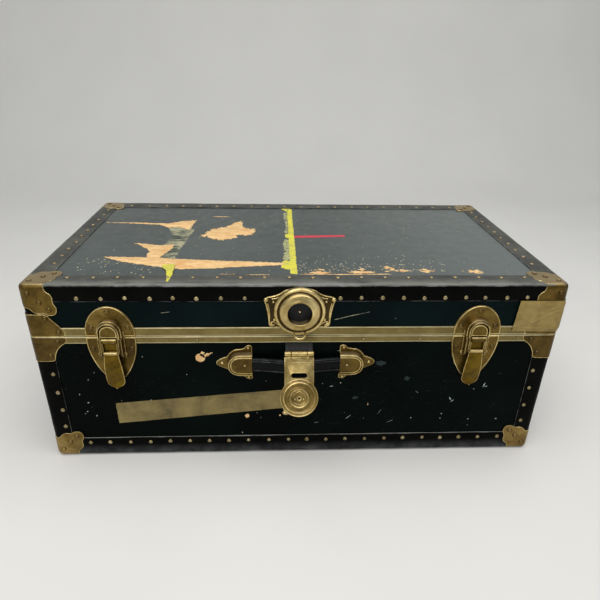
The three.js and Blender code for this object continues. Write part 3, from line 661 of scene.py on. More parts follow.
# Tack heads: this paler brass on their tops, brightened as a painted highlight, over aged brass
# sides darkened as painted shade.
TACK = brass_shader("dull_tack", (50, 40, 22), (128, 114, 78), (196, 182, 142), 0.55,
                    roughness=(0.25, 0.42))
STEEL = brass_shader("stay_steel", (60, 52, 44), (132, 130, 124), (168, 166, 160), 0.35,
                     metallic=0.95)
STEEL_EDGE = brass_shader("stay_steel_edge", (90, 84, 76), (180, 178, 172), (206, 204, 198), 0.3,
                          metallic=0.95)
NAIL_SET, BRASS_SET, STEEL_SET = [AGED, TACK], [AGED, EDGE, GROOVE], [STEEL, STEEL_EDGE]
LOCK_SET, PLATE_SET, VALANCE_SET = [LOCK, EDGE], [PLATE, EDGE], [PALE, PALE_EDGE]
LATCH_SETS = {"lever": [LEVER, EDGE, LEVER_EDGE], "keeper": [KEEPER, EDGE, GROOVE],
              "plate": BRASS_SET, "link": BRASS_SET}
CAP_SETS = {"base": [BASE_CAP, EDGE, GROOVE], "lid": BRASS_SET}
CLAMP_SETS = {"base": [CLAMP, EDGE, GROOVE], "lid": BRASS_SET}

# Films: each one's two colours, its roughness and the scale of its mottling.
TORN, TORN_SKIN = torn_board_shader(), torn_skin_shader()
TAPE = paper_shader("masking_tape", (157, 135, 77), (124, 103, 52), 0.55, 36, 2.0)
OLD_TAPE = paper_shader("old_masking_tape", (137, 121, 71), (90, 78, 45), 0.6, 22, 1.5)
YELLOW = paper_shader("yellow_paper", (220, 212, 66), (186, 182, 92), 0.6, 90)
STICKER_BASE = paper_shader("torn_sticker", (186, 184, 132), (92, 100, 84), 0.7, 160)
RED = paper_shader("red_line", (212, 52, 72), (176, 72, 84), 0.6, 120)
PALE_FLECK = paper_shader("pale_fleck", (206, 200, 176), (176, 158, 120), 0.8, 200)
WHITE_SCUFF = paper_shader("white_scuff", (176, 190, 186), (110, 124, 120), 0.8, 160)
DULL_SCUFF = paper_shader("dull_scuff", (26, 42, 44), (12, 22, 22), 0.8, 160)
# Near black: painted shade in the lock's hole, and the colour of the hinge shelf.
DARK = paper_shader("dark_recess", (10, 11, 12), (22, 22, 24), 0.6, 80)

# ---- Panels, which keep their CAD shape ---------------------------------------------------------

for node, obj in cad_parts.items():
    if node.endswith("_panel") or node.endswith("_rail"):
        flat = node in ("bottom_panel", "lid_top_panel")
        obj.data.materials.clear()
        wall = LID_WALL if node.startswith("lid_") else BASE_WALL
        obj.data.materials.append(PAINT if flat else wall)


# ---- Binding, posts and valances ----------------------------------------------------------------

UPRIGHT_RADIUS = 10.8
BASE_BAND, LID_BAND, TOP_BAND, POST_WIDTH = 36, 28, 35, 32
SIDE_STEPS, FRONT_STEPS = 32, 56


def rounded_corners(half_x, half_y, middle_y, radius, height, count):
    """The points round each corner of a level rectangle, from its front right corner."""
    corners = []
    for sx, sy, start in [(1, -1, -90), (1, 1, 0), (-1, 1, 90), (-1, -1, 180)]:
        angles = [math.radians(start + 90 * k / (count - 1)) for k in range(count)]
        corners.append([Vector((
            sx * (half_x - radius) + radius * math.cos(a),
            middle_y + sy * (half_y - radius) + radius * math.sin(a), height)) for a in angles])
    return corners


def case_loop(inset, height):
    """Points round the case at a height, close enough together to be bent a little."""
    corners = rounded_corners(HALF_WIDTH - inset, HALF_DEPTH - inset, MIDDLE_Y,
                              UPRIGHT_RADIUS - inset, height, 7)
    points = []
    for i, corner in enumerate(corners):
        points += corner
        after = corners[(i + 1) % 4][0]
        steps = SIDE_STEPS if abs(corner[-1].x - after.x) < 1 else FRONT_STEPS
        points += [corner[-1].lerp(after, k / steps) for k in range(1, steps)]
    return points


def wavy(bm, amount, scale=0.03):
    """Small bends, as hand-laid fibre and old sheet have."""
    bm.normal_update()
    for v in bm.verts:
        v.co += v.normal * (amount * noise.noise(v.co * scale))
    return bm


def banded_loop(profile):
    """A closed band round the case from (inset, height, material) points."""
    rows = list(zip(*[case_loop(inset, height) for inset, height, _ in profile]))
    marks = [mark for _, _, mark in profile[1:] + profile[:1]]
    return wavy(skin(rows, close_rows=True, close_columns=True, materials=marks), 0.35)


def bent_band(edge_height, way, reach, depth):
    """The binding over a horizontal edge: `depth` across the flat, `reach` down the side."""
    face_in, radius = -SKIN, 4.5
    section = [(depth, face_in, 1), (depth - 0.5, 1.15, 1)]
    for k in range(7):
        a = math.radians(15 * k)
        section.append((face_in + radius - radius * math.sin(a),
                        face_in + radius - radius * math.cos(a), 0 if k in (0, 6) else 1))
    section += [(face_in, reach - 0.9, 0), (1.5, reach - 0.2, 1), (2.5, reach, 1), (2.5, 6.5, 0),
                (3.6, 3.6, 0), (6.5, 2.5, 0), (depth, 2.5, 0)]
    return banded_loop([(inset, edge_height + way * drop, mark) for inset, drop, mark in section])


def post(sx, sy, bottom, top):
    """The binding on an upright edge."""
    def quarter(inset, way):
        """Points round the upright corner at an inset."""
        radius = UPRIGHT_RADIUS - inset
        return [(UPRIGHT_RADIUS - radius * math.sin(a), UPRIGHT_RADIUS - radius * math.cos(a))
                for a in [math.radians(15 * k) for k in range(7)][::way]]
    outer = [(POST_WIDTH, 1.65), (POST_WIDTH - 0.5, 1.5)] + quarter(1.5, 1)
    outer += [(1.5, POST_WIDTH - 0.5), (1.65, POST_WIDTH)]
    plan = outer + [(2.6, POST_WIDTH)] + quarter(2.6, -1) + [(POST_WIDTH, 2.6)]
    marks = [1] + [0] * 8 + [1] + [0] * (len(plan) - 10)
    rows = []
    steps = max(2, int((top - bottom) / 8))
    for k in range(steps + 1):
        z = bottom + (top - bottom) * k / steps
        rows.append([(sx * (HALF_WIDTH - a), MIDDLE_Y + sy * (HALF_DEPTH - b), z)
                     for a, b in plan])
    return wavy(skin(rows, close_columns=True, cap=True, materials=marks), 0.3)


CORNERS = [(-1, -1, "front_left"), (1, -1, "front_right"), (-1, 1, "back_left"),
           (1, 1, "back_right")]

piece("base_binding_fibre", merge(
    bent_band(0, 1, BASE_BAND, TOP_BAND),
    *[post(sx, sy, BASE_BAND - 6, SEAM - 11.5) for sx, sy, _ in CORNERS],
), "case", FIBRE_SET, replaces=["base_binding"])
piece("lid_binding_fibre", merge(
    bent_band(TOP, -1, LID_BAND, TOP_BAND),
    *[post(sx, sy, SEAM + 13.5, TOP - LID_BAND + 6) for sx, sy, _ in CORNERS],
), "lid", FIBRE_SET, replaces=["lid_binding"])


def valance(rows):
    """A valance strip from (stand-off, height over the seam, material) points."""
    return banded_loop([(-out, SEAM + up, mat) for out, up, mat in rows])


piece("base_valance_strip", valance([
    (-2.5, -12, 0), (-1.2, -11.9, 1), (-0.9, -11.3, 1), (-1.15, -10.5, 1), (-1.2, -6.4, 0),
    (-1.2, -3.4, 0), (-0.8, -2.5, 0), (-0.2, -1.8, 1), (0.0, -1.1, 1), (-0.4, -0.5, 1),
    (-2.5, -0.3, 0),
]), "case", VALANCE_SET, replaces=["base_valance"])
piece("lid_valance_strip", valance([
    (-2.5, 0.3, 0), (-1.0, 0.35, 1), (-0.7, 0.9, 1), (-0.95, 1.8, 1), (-1.25, 2.6, 0),
    (-1.25, 7.5, 0), (-1.25, 11.6, 0), (-0.95, 12.5, 0), (-0.7, 13.3, 1), (-1.1, 13.9, 1),
    (-2.5, 14, 0),
]), "lid", VALANCE_SET, replaces=["lid_valance"])


# ---- Tacks --------------------------------------------------------------------------------------

TACK_EDGE, TACK_END, TACK_PITCH, LID_TACK_Z = 26.5, 58, 32.5, 286.2
VALANCE_NAILS = [-345, -205, -150, -24, 96, 182, 332]
rng = random.Random(31)


def row(start, end, count):
    """Evenly spaced places from start to end."""
    return [start + (end - start) * k / (count - 1) for k in range(count)]


def tack_row(face, xs, zs, base=SKIN, radius=3.3):
    """Tacks on a face, each a little out of line and of its own size."""
    made = []
    for x, z in zip(xs, zs):
        dx, dz, size = rng.uniform(-1.2, 1.2), rng.uniform(-0.8, 0.8), rng.uniform(0.92, 1.08)
        made.append(moved(dome(x + dx, z + dz, radius * size, 1.5, base), FACE[face]))
    return made


def tacks_on_face(face, half, lid):
    """The tacks on one upright face; `half` is half the face's length."""
    count = round((2 * half - 2 * TACK_END) / TACK_PITCH) + 1
    along = row(-half + TACK_END, half - TACK_END, count)
    if lid:
        if face == "front":
            along = row(-314, -80, 8) + row(57, 331, 10)
        return tack_row(face, along, [LID_TACK_Z] * len(along))
    made = tack_row(face, along, [TACK_EDGE] * len(along))
    for x in (24.5 - half, half - 24.5):
        made += tack_row(face, [x] * 4, [159, 125, 92, 60], base=SKIN - 0.2)
    return made


def tacks_on_top():
    """The tacks along the lid's four edges."""
    made = []
    along = row(-331, 334, 20)
    for y in (FRONT + TACK_EDGE, BACK - TACK_EDGE):
        made += tack_row("top", along, [y] * len(along))
    deep = row(FRONT + 79, FRONT + 360, 10)
    for x in (-370, 370):
        made += tack_row("top", [x] * len(deep), deep)
    return made


HALVES = {"front": HALF_WIDTH, "back": HALF_WIDTH, "left": HALF_DEPTH, "right": HALF_DEPTH}
base_tacks, lid_tacks = [], tacks_on_top()
for face, half in HALVES.items():
    base_tacks += tacks_on_face(face, half, False)
    lid_tacks += tacks_on_face(face, half, True)
    nails = [x for x in VALANCE_NAILS if abs(x) < half - 60]
    base_tacks += tack_row(face, nails, [SEAM - 7] * len(nails), -1.2, 1.8)
piece("base_tacks", merge(*base_tacks), "case", NAIL_SET, IN_METRES)
piece("lid_tacks", merge(*lid_tacks), "lid", NAIL_SET, IN_METRES)


# ---- Corner caps and clamps ---------------------------------------------------------------------

EDGE_RADIUS = 8.0
SINK, SHEET = 0.5, 1.0
CORNER_NAIL = 3.1


def cap_outline():
    """One scalloped face of a cap, from the corner at (0, 0)."""
    return (Outline(0, 0).line(37.5, 0).curve(35.5, 9, 40.5, 13.5).curve(46.5, 17, 46, 24)
            .curve(44.5, 30, 49, 36).curve(51, 50, 36, 49).curve(30, 44.5, 24, 46)
            .curve(17, 46.5, 13.5, 40.5).curve(9, 35.5, 0, 37.5).done())


def lid_clamp_outline():
    """One face of a clamp over the seam; (0, 0) is on the upright edge at the seam."""
    return (Outline(0, 0.3).line(50, 0.3).curve(54, 0.8, 54, 5, steps=5)
            .curve(54, 9.5, 50.5, 13, steps=5).line(34, 33).curve(31, 36, 27, 36, steps=4)
            .line(0, 36).done())


def base_clamp_outline():
    """One face of a clamp under the seam, drawn downwards from it."""
    return (Outline(0, 0.3).line(50, 0.3).curve(54.5, 0.8, 54, 6, steps=5)
            .curve(53, 10.5, 47, 14, steps=5).curve(35, 22, 32.5, 38, steps=8)
            .curve(31.5, 42, 27, 42, steps=4).line(0, 42).done())


def distance_to(u, v, path):
    """Distance from a point to a polyline."""
    p, best = Vector((u, v)), 1e9
    for a, b in zip(path, path[1:]):
        along = b - a
        t = min(max((p - a).dot(along) / along.length_squared, 0), 1)
        best = min(best, (p - a - along * t).length)
    return best


def sliced(outline, cuts_u, cuts_v):
    """The outline as one flat sheet, cut into a grid."""
    bm = bmesh.new()
    bm.faces.new([bm.verts.new((p.x, p.y, 0)) for p in outline])
    for axis, cuts in ((Vector((1, 0, 0)), cuts_u), (Vector((0, 1, 0)), cuts_v)):
        for at in cuts:
            geom = list(bm.verts) + list(bm.edges) + list(bm.faces)
            bmesh.ops.bisect_plane(bm, geom=geom, dist=1e-4, plane_co=axis * at, plane_no=axis)
    return bm


def pressed(u, v, free):
    """How far the sheet sinks at its free edge, so that it looks stamped."""
    t = min(distance_to(u, v, free) / 3.2, 1)
    return SINK * (1 - t * t * (3 - 2 * t))


def bent(point, depth, flat_edges):
    """A point on a sharp corner moved onto its rounded edges, and `depth` inwards."""
    x, y, z = point
    core = Vector((max(x, UPRIGHT_RADIUS), max(y, UPRIGHT_RADIUS)))
    way = (Vector((x, y)) - core).normalized()
    inset = min(x, y)
    if flat_edges:
        centre = Vector((max(inset, EDGE_RADIUS), max(z, EDGE_RADIUS)))
        inset, z = centre + (Vector((inset, z)) - centre).normalized() * (EDGE_RADIUS - depth)
    else:
        inset += depth
    if way.length < 0.5:
        return Vector((x, y, z))
    flat = core + way * (UPRIGHT_RADIUS - inset)
    return Vector((flat.x, flat.y, z))


def corner_sheet(outline, free, faces, flat_edges, cuts_u, cuts_v):
    """`faces` maps an outline's (u, v) to the corner's three coordinates, once per face."""
    sides = []
    for place in faces:
        side = sliced(outline, cuts_u, cuts_v)
        for v in side.verts:
            depth = pressed(v.co.x, v.co.y, free)
            v.co = bent(place(v.co.x, v.co.y), depth, flat_edges)
        sides.append(side)
    whole = merge(*sides)
    bmesh.ops.remove_doubles(whole, verts=whole.verts, dist=0.02)
    return outward(whole)


def rimmed(bm, wide=0.7, proud=0.35, material=1):
    """Leaves a raised rim along a sheet's free edge."""
    bm.normal_update()
    kept = set(bm.faces)
    bmesh.ops.inset_region(bm, faces=bm.faces, thickness=wide, depth=-proud, use_boundary=True,
                           use_even_offset=True)
    for face in bm.faces:
        if face not in kept:
            face.material_index = material
    return bm


def placed(bm, sx, sy, height, way):
    """A corner sheet put at its corner of the case, given its thickness and faced outwards."""
    for v in bm.verts:
        v.co = Vector((sx * (HALF_WIDTH - v.co.x), MIDDLE_Y + sy * (HALF_DEPTH - v.co.y),
                       height + way * v.co.z))
    outward(bm)
    bm.normal_update()
    inside = Vector((0, MIDDLE_Y, height + way * 150))
    if sum(f.normal.dot(f.calc_center_median() - inside) for f in bm.faces) < 0:
        bmesh.ops.reverse_faces(bm, faces=bm.faces)
    return thicken(wavy(rimmed(bm), 0.35, 0.05), SHEET)


# The cuts lie closer together within the bend.
bend_cuts = [UPRIGHT_RADIUS * math.tan(math.radians(9 * k)) for k in range(1, 6)]
cap_cuts = bend_cuts + [UPRIGHT_RADIUS + 3 * k for k in range(1, 14)]
clamp_cuts = (bend_cuts + [UPRIGHT_RADIUS + 4 * k for k in range(1, 11)],
              [2, 4] + [4 + 4 * k for k in range(1, 10)])
CAP_FACES = [lambda u, v: (u, v, 0), lambda u, v: (0, u, v), lambda u, v: (v, 0, u)]
CLAMP_FACES = [lambda u, v: (u, 0, v), lambda u, v: (0, u, v)]
CAP_NAILS = [(13.5, 14.5), (27, 29), (38.5, 40)]
# 1 is over the seam and -1 is under it.
CLAMP_NAILS = {1: [(30, 29.5), (45, 6.5)], -1: [(41, 9), (26.5, 33)]}
PATCH_LOW, PATCH_HIGH = 231.5, 282.0


def corner_nails(sx, sy, spots, height, way, on_flat):
    """Nails on a corner's two upright faces and on a cap's flat face; none lie under the patch."""
    made = []
    front, front_sign = ("front", sx) if sy < 0 else ("back", -sx)
    end, end_sign = ("left", -sy) if sx < 0 else ("right", sy)
    for u, v in spots:
        z = height + way * v
        spot = [(front, front_sign * (HALF_WIDTH - u), z), (end, end_sign * (HALF_DEPTH - u), z)]
        if sx > 0 > sy and PATCH_LOW - 3 < z < PATCH_HIGH + 3:
            spot = []
        if on_flat:
            spot.append(("top", sx * (HALF_WIDTH - u), MIDDLE_Y + sy * (HALF_DEPTH - v)))
        made += [moved(rivet(x, y, CORNER_NAIL, 0), FACE[face]) for face, x, y in spot]
    return made


cap_line = cap_outline()
for sx, sy, place in CORNERS:
    for level, height, way, body in (("base", 0, 1, "case"), ("lid", TOP, -1, "lid")):
        sheet = corner_sheet(cap_line, cap_line[1:], CAP_FACES, True, cap_cuts, cap_cuts)
        sheet = moved(placed(sheet, sx, sy, height, way), WORLD)
        nails = corner_nails(sx, sy, CAP_NAILS, height, way, level == "lid")
        piece(f"{level}_cap_{place}", merge(sheet, *nails), body, CAP_SETS[level],
              IN_METRES, [f"{level}_corner_cap_{place}"], smooth=40)
        clamp_line = lid_clamp_outline() if level == "lid" else base_clamp_outline()
        sheet = corner_sheet(clamp_line, clamp_line[:-1], CLAMP_FACES, False, *clamp_cuts)
        up = -way
        sheet = moved(placed(sheet, sx, sy, SEAM, up), WORLD)
        nails = corner_nails(sx, sy, CLAMP_NAILS[up], SEAM, up, False)
        piece(f"{level}_clamp_sheet_{place}", merge(sheet, *nails), body, CLAMP_SETS[level],
              IN_METRES, [f"{level}_clamp_{place}"], smooth=40)


# ---- Draw latches -------------------------------------------------------------------------------

PLATE_HALF = 35.5
LEVER_OUT, LEVER_Z = 9.0, 221.5
LINK_OUT, LINK_Z = 8.0, 202.5
PIN, LATCH_RIVET = 1.6, 3.2
RIM = [(0, -2.5), (0, -0.4, 1), (0.3, 0.3, 1), (0.8, 0.8, 1), (1.4, 0.8, 1), (1.9, 0.35, 1),
       (2.3, 0.2)]


def keeper_plate():
    """The lid's plate, with a horseshoe hood that the link's tongue goes under."""
    outline = (Outline(-PLATE_HALF, SEAM + 0.8).line(PLATE_HALF, SEAM + 0.8)
               .curve(38, 248, 22, 274, 0, 274, steps=24)
               .curve(-22, 274, -38, 248, -PLATE_HALF, SEAM + 0.8, steps=24).done())
    crown, foot = 236, SEAM + 0.9

    def hoop(radius):
        return Outline(radius, foot).line(radius, crown).arc(0, crown, radius, 0, 180, 20).line(
            -radius, foot).points
    section = [(17.6, 0), (17.6, 4.6), (17.2, 5.8), (16.5, 6.2), (16.0, 5.6), (15.9, 6.6),
               (15.6, 9.6), (15.1, 10.7), (14.5, 11), (13.9, 10.6), (13.7, 9.4), (13.7, 0)]
    marks = [0, 0, 1, 0, 0, 0, 0, 1, 1, 0, 0, 0]
    hoops = [hoop(r) for r, _ in section]
    hood = skin([[(hoops[k][i].x, -out, hoops[k][i].y) for k, (_, out) in enumerate(section)]
                 for i in range(len(hoops[0]))], close_columns=True, cap=True, materials=marks)
    rivets = [rivet(x, z, LATCH_RIVET, 0.2) for x, z in [(0, 265), (-26, 240), (26, 240)]]
    feet = [block(x, (0, 2.2), (foot, foot + 8), 0.4) for x in mirrored(17, 20.5)]
    return merge(relief(outline, RIM), hood, *rivets, *feet)


def base_plate():
    """The base's plate, with the rails, lug and knuckle that hold the lever."""
    outline = (Outline(-PLATE_HALF, SEAM - 0.8).curve(-38, 200, -28, 172, -13, 154, steps=22)
               .line(13, 154).curve(28, 172, 38, 200, PLATE_HALF, SEAM - 0.8, steps=22).done())
    rail = [(0, 192), (5.5, 193), (8, 198), (8, SEAM - 3), (6.5, SEAM - 0.8), (0, SEAM - 0.8)]
    rails = [profile_bar(rail, *x) for x in mirrored(13.9, 16.6)]
    rails += [block(x, (0, 1.8), (190, SEAM - 1), 0.4) for x in mirrored(16, 19.5)]
    rails += [revolve([(0, 0), (2.6, 0), (2.6, 2.2, 1), (1.6, 2.7, 1), (0, 2.4)], x, 197)
              for x in (-18.4, 18.4)]
    rivets = [rivet(x, 204, LATCH_RIVET, 0.2) for x in (-28, 28)]
    lug = block((-8.8, 8.8), (0, 8.6), (LEVER_Z - 2.8, SEAM - 1), 0.5)
    knuckle = bar(3.0, -8.9, 8.9, LEVER_OUT, LEVER_Z)
    pin = bar(PIN, -11, 11, LEVER_OUT, LEVER_Z)
    return merge(relief(outline, RIM), lug, knuckle, pin, *rails, *rivets)


def spoon(wide, tip, bottom):
    """The lever's finger grip: a tapering curved sheet with rolled edges."""
    crest = 200.8
    out_at = [(crest, 11.0), (198, 11.9), (190, 12.2), (180, 11.8), (168, 11.0), (158, 9.4),
              (150, 8.3), (bottom, 8.6)]
    heights = [crest - (crest - tip) * k / 22 for k in range(22)]
    heights += [tip - (tip - bottom) * math.sin(math.radians(90 * k / 14)) for k in range(14)]
    rows = []
    across = 10
    for z in heights:
        if z > tip:
            half = 10.4 + (wide - 10.4) * min((crest - z) / 30, 1)
        else:
            t = (tip - z) / (tip - bottom)
            half = wide * math.sqrt(max(1 - t * t, 0.03))
        for (z0, o0), (z1, o1) in zip(out_at, out_at[1:]):
            if z1 <= z <= z0:
                out = o0 + (o1 - o0) * (z0 - z) / (z0 - z1)
        rows.append([(half * (2 * j / across - 1), -(out - 1.6 * abs(2 * j / across - 1) ** 4), z)
                     for j in range(across + 1)])
    bm = skin(rows)
    bm.normal_update()
    if sum(f.normal.y for f in bm.faces) > 0:
        bmesh.ops.reverse_faces(bm, faces=bm.faces)
    return thicken(rimmed(bm, 0.9, 0.4, 2), 1.8, 0.5)


def latch_lever():
    """The lever: a finger grip, its two cheeks and the link's pin."""
    cheeks = []
    for x in mirrored(9.5, 11):
        cheeks += [block(x, (5.6, 10.2), (LINK_Z - 2.8, LEVER_Z), 0.35),
                   bar(3.2, *x, LEVER_OUT, LEVER_Z, edge=0.3)]
    web = block((-9.6, 9.6), (6, 7.3), (LINK_Z - 3, LEVER_Z - 4.6), 0.2, 0)
    crease = ridge([(-7.4, 212), (7.4, 212)], 0.5, 7.2, material=0)
    shoulder = bar(1.5, -9.8, 9.8, 11.4, LINK_Z + 0.9, material=1)
    pin = bar(PIN, -13.2, 13.2, LINK_OUT, LINK_Z, material=1)
    return merge(spoon(13.2, 152, 139.8), web, crease, shoulder, pin, *cheeks)


def latch_link():
    """The link: a round tongue on two arms."""
    crown = 234.5
    outline = Outline(-13, 227.6).line(13, 227.6).arc(0, crown, 13, 0, 180, 24).done()
    tongue = relief(outline, [(0, 3), (0, 7.4), (0.5, 8.8, 1), (1.2, 9.6, 1), (2.2, 9.7, 1),
                              (3.0, 9.2), (4.4, 9.3), (6.2, 9.5)])
    arms = []
    for x in mirrored(11.6, 13.1):
        arms += [block(x, (5.8, 9.9), (LINK_Z, 229), 0.35),
                 bar(3.1, *x, LINK_OUT, LINK_Z, edge=0.3)]
    lip = bar(1.3, -10.5, 10.5, 10.4, 225.4, material=1, edge=0.3)
    return merge(tongue, lip, *arms)


for side in ("left", "right"):
    low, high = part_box(f"{side}_latch_keeper")
    where = FACE["front"] @ Matrix.Translation(((low.x + high.x) / 2 / MM, 0, 0))
    for part, make, body in [
            ("keeper", keeper_plate, "lid"), ("plate", base_plate, "case"),
            ("lever", latch_lever, f"{side}_lever"), ("link", latch_link, f"{side}_link")]:
        piece(f"{side}_latch_{part}_brass", make(), body, LATCH_SETS[part], where,
              [f"{side}_latch_{part}"], smooth=38)


# ---- Lock receptacle ----------------------------------------------------------------------------

lock_low, lock_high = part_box("hasp")
LOCK_X = (lock_low.x + lock_high.x) / 2 / MM
LOCK_Z = 266.0
HOLE, COLLAR = 17.5, 38.3
STAPLE_HALF, STAPLE_Z = 8.2, 234.2


def receptacle_outline():
    """From the middle of the bottom edge, anticlockwise."""
    right = (Outline(0, 238).line(9, 238).curve(20, 243, 30, 240).curve(44, 237, 45, 245)
             .curve(45.5, 262, 50, 279, steps=10).curve(56, 288, 43, 289.5).curve(30, 292, 24, 298)
             .curve(12, 304, 0, 304).points)
    left = [Vector((-p.x, p.y)) for p in reversed(right[1:-1])]
    return right + left


def ray_length(angle, outline, centre):
    """How far the outline is from the centre at an angle in radians."""
    way = Vector((math.cos(angle), math.sin(angle)))
    best = 0
    for i, b in enumerate(outline):
        a = outline[i - 1]
        edge = b - a
        det = way.x * -edge.y + way.y * edge.x
        if abs(det) < 1e-9:
            continue
        rel = a - centre
        t = (rel.x * -edge.y + rel.y * edge.x) / det
        s = (way.x * rel.y - way.y * rel.x) / det
        if t > 0 and -1e-6 <= s <= 1 + 1e-6:
            best = max(best, t)
    return best


def receptacle_plate():
    """The shaped plate, with the turned collar round its hole."""
    outline, centre, steps = receptacle_outline(), Vector((0, LOCK_Z)), 120
    angles = [2 * math.pi * i / steps for i in range(steps)]
    reach = [ray_length(a, outline, centre) for a in angles]
    edge_rings = [(0, -1.0, 0), (0, 0.0, 1), (0.5, 0.6, 1), (1.4, 0.9, 1), (2.2, 0.6, 1),
                  (3.0, 0.2, 0)]
    rings = [(COLLAR, 0.2, 2), (37.9, 2.4, 0), (37.0, 4.4, 1), (35.8, 5.6, 1), (34.2, 5.9, 1),
             (33.0, 5.3, 1), (32.0, 4.3, 0), (31.2, 4.0, 2), (30.4, 4.6, 0), (29.4, 6.2, 0),
             (28.2, 7.7, 3), (27.0, 8.6, 3), (25.8, 8.9, 3), (24.6, 9.0, 3), (22.8, 9.6, 3),
             (20.8, 10.3, 3), (19.6, 11.0, 1), (18.6, 11.3, 1), (HOLE + 0.3, 10.8, 1),
             (HOLE, 10.0, 0), (HOLE, 4, 2), (HOLE, -1.0, 2)]
    rows, marks = [], []
    for inset, out, mark in edge_rings:
        rows.append([(max(r - inset, COLLAR + 0.05), out) for r in reach])
        marks.append(mark)
    for radius, out, mark in rings:
        rows.append([(radius, out)] * steps)
        marks.append(mark)
    spokes = [[(r * math.cos(a), -out, LOCK_Z + r * math.sin(a)) for r, out in spoke]
              for a, spoke in zip(angles, zip(*rows))]
    plate = skin(spokes, close_rows=True, close_columns=True, materials=marks[1:] + marks[:1])
    bmesh.ops.remove_doubles(plate, verts=plate.verts, dist=1e-4)
    return outward(plate)


def leaf_work():
    """Knobs, leaf scrolls and stems on both sides of the collar."""
    knobs = [(48.6, 284.6, 3.6, 3.0), (36.5, 252, 2.2, 1.3), (40.5, 244.5, 2.4, 1.4),
             (38, 281, 1.8, 1.0)]
    scroll = [Vector(p) for p in [(30, 243), (34, 246.5), (38, 249), (41.5, 248), (42.5, 244.5),
                                  (39.5, 242.6), (36.5, 244)]]
    curl = [a.lerp(b, t / 3) for a, b in zip(scroll, scroll[1:]) for t in range(3)]
    stems = [(curl + scroll[-1:], 1.0, 0.2),
             ([(43.4, 255), (43.4, 262), (44, 268), (45, 274), (46.2, 279)], 0.8, 0.3),
             ([(40, 286), (34, 286.6), (28, 290), (23, 294.5)], 0.9, 0.3)]
    details = []
    for sign in (-1, 1):
        details += [dome(sign * x, z, radius, height, 0.2) for x, z, radius, height in knobs]
        details += [ridge([(sign * x, z) for x, z in path], radius, base)
                    for path, radius, base in stems]
    return details


def staple():
    """The loop below the plate that comes through the closed hasp's slot."""
    bow = [Vector((-STAPLE_HALF * math.cos(a), -13 - STAPLE_HALF * math.sin(a),
                   STAPLE_Z - 2.4 * math.sin(a))) for a in [math.pi * k / 16 for k in range(17)]]
    legs = [[Vector((x, 0, STAPLE_Z + 0.4)), Vector((x, -12, STAPLE_Z))]
            for x in (-STAPLE_HALF, STAPLE_HALF)]
    return tube(legs[0] + bow + legs[1][::-1], 1.8, material=1)


def receptacle():
    """The whole lock receptacle, with the nose that its staple stands on."""
    nose = relief(Outline(-13, 229).line(13, 229).line(13, 240).line(10, 245).line(-10, 245)
                  .line(-13, 240).done(),
                  [(0, -1.0), (0, 1.4), (0.5, 2.4, 1), (1.3, 2.9, 1), (2.2, 2.6), (4, 2.7)])
    return merge(receptacle_plate(), nose, staple(), *leaf_work())


lock_place = FACE["front"] @ Matrix.Translation((LOCK_X, 0, 0))
piece("lock_receptacle_brass", receptacle(), "lid", [*PLATE_SET, GROOVE, RING], lock_place,
      ["lock_receptacle"], smooth=38)
# The near-black disc in the lock's hole is painted shade; a brass bar crosses it.
piece("lock_well", merge(
    revolve([(0, -2.5), (HOLE - 0.05, -2.5), (HOLE - 0.05, -0.8), (0, -0.8)], 0, LOCK_Z, 36),
    block((-0.5, 0.5), (-0.9, 0.1), (LOCK_Z - 12, LOCK_Z + 12), 0.1)), "lid", [DARK, PLATE],
    lock_place)
piece("lock_well_pin", revolve([(0, -1), (1.7, -1), (1.7, 2), (1.2, 2.7, 1), (0, 2.9, 1)], 0,
                               LOCK_Z, 16), "lid", LOCK_SET, lock_place)


# ---- Hasp ---------------------------------------------------------------------------------------

HINGE_OUT, HINGE_Z, REACH, TILT = 12.0, 201.2, 66.3, 24.0
SLOT, SLOT_HALF, SLOT_RADIUS = -32.8, 8.5, 3.5
HASP_HALF, DISC = 22.0, 28.5
BARREL = 4.2


def hasp_bracket():
    """The hinge's fixed knuckles and its pin."""
    ends = [bar(BARREL, *x, HINGE_OUT, HINGE_Z, material=1) for x in mirrored(12, 21.5)]
    return merge(bar(PIN, -12.2, 12.2, HINGE_OUT, HINGE_Z), *ends)


def hasp_shelf():
    """The dark leaf that carries the barrel out from the case."""
    middle = profile_bar([(SKIN, 209.4), (9.4, 204.4), (9.2, 205.6), (0, 212.5), (SKIN, 212.5)],
                         -12.2, 12.2, 0.2)
    arm = [(-2.5, 196), (SKIN, 196), (SKIN, 208.6), (HINGE_OUT - 1, HINGE_Z + 1.4),
           (HINGE_OUT - 1, HINGE_Z + 3.2), (0.2, 212.6), (-2.5, 212.6)]
    return merge(middle, *[profile_bar(arm, *x, 0.3) for x in mirrored(12.2, 20.2)])


# The hasp's flap is drawn with its hinge pin at (0, 0) and its disc's middle REACH below it.

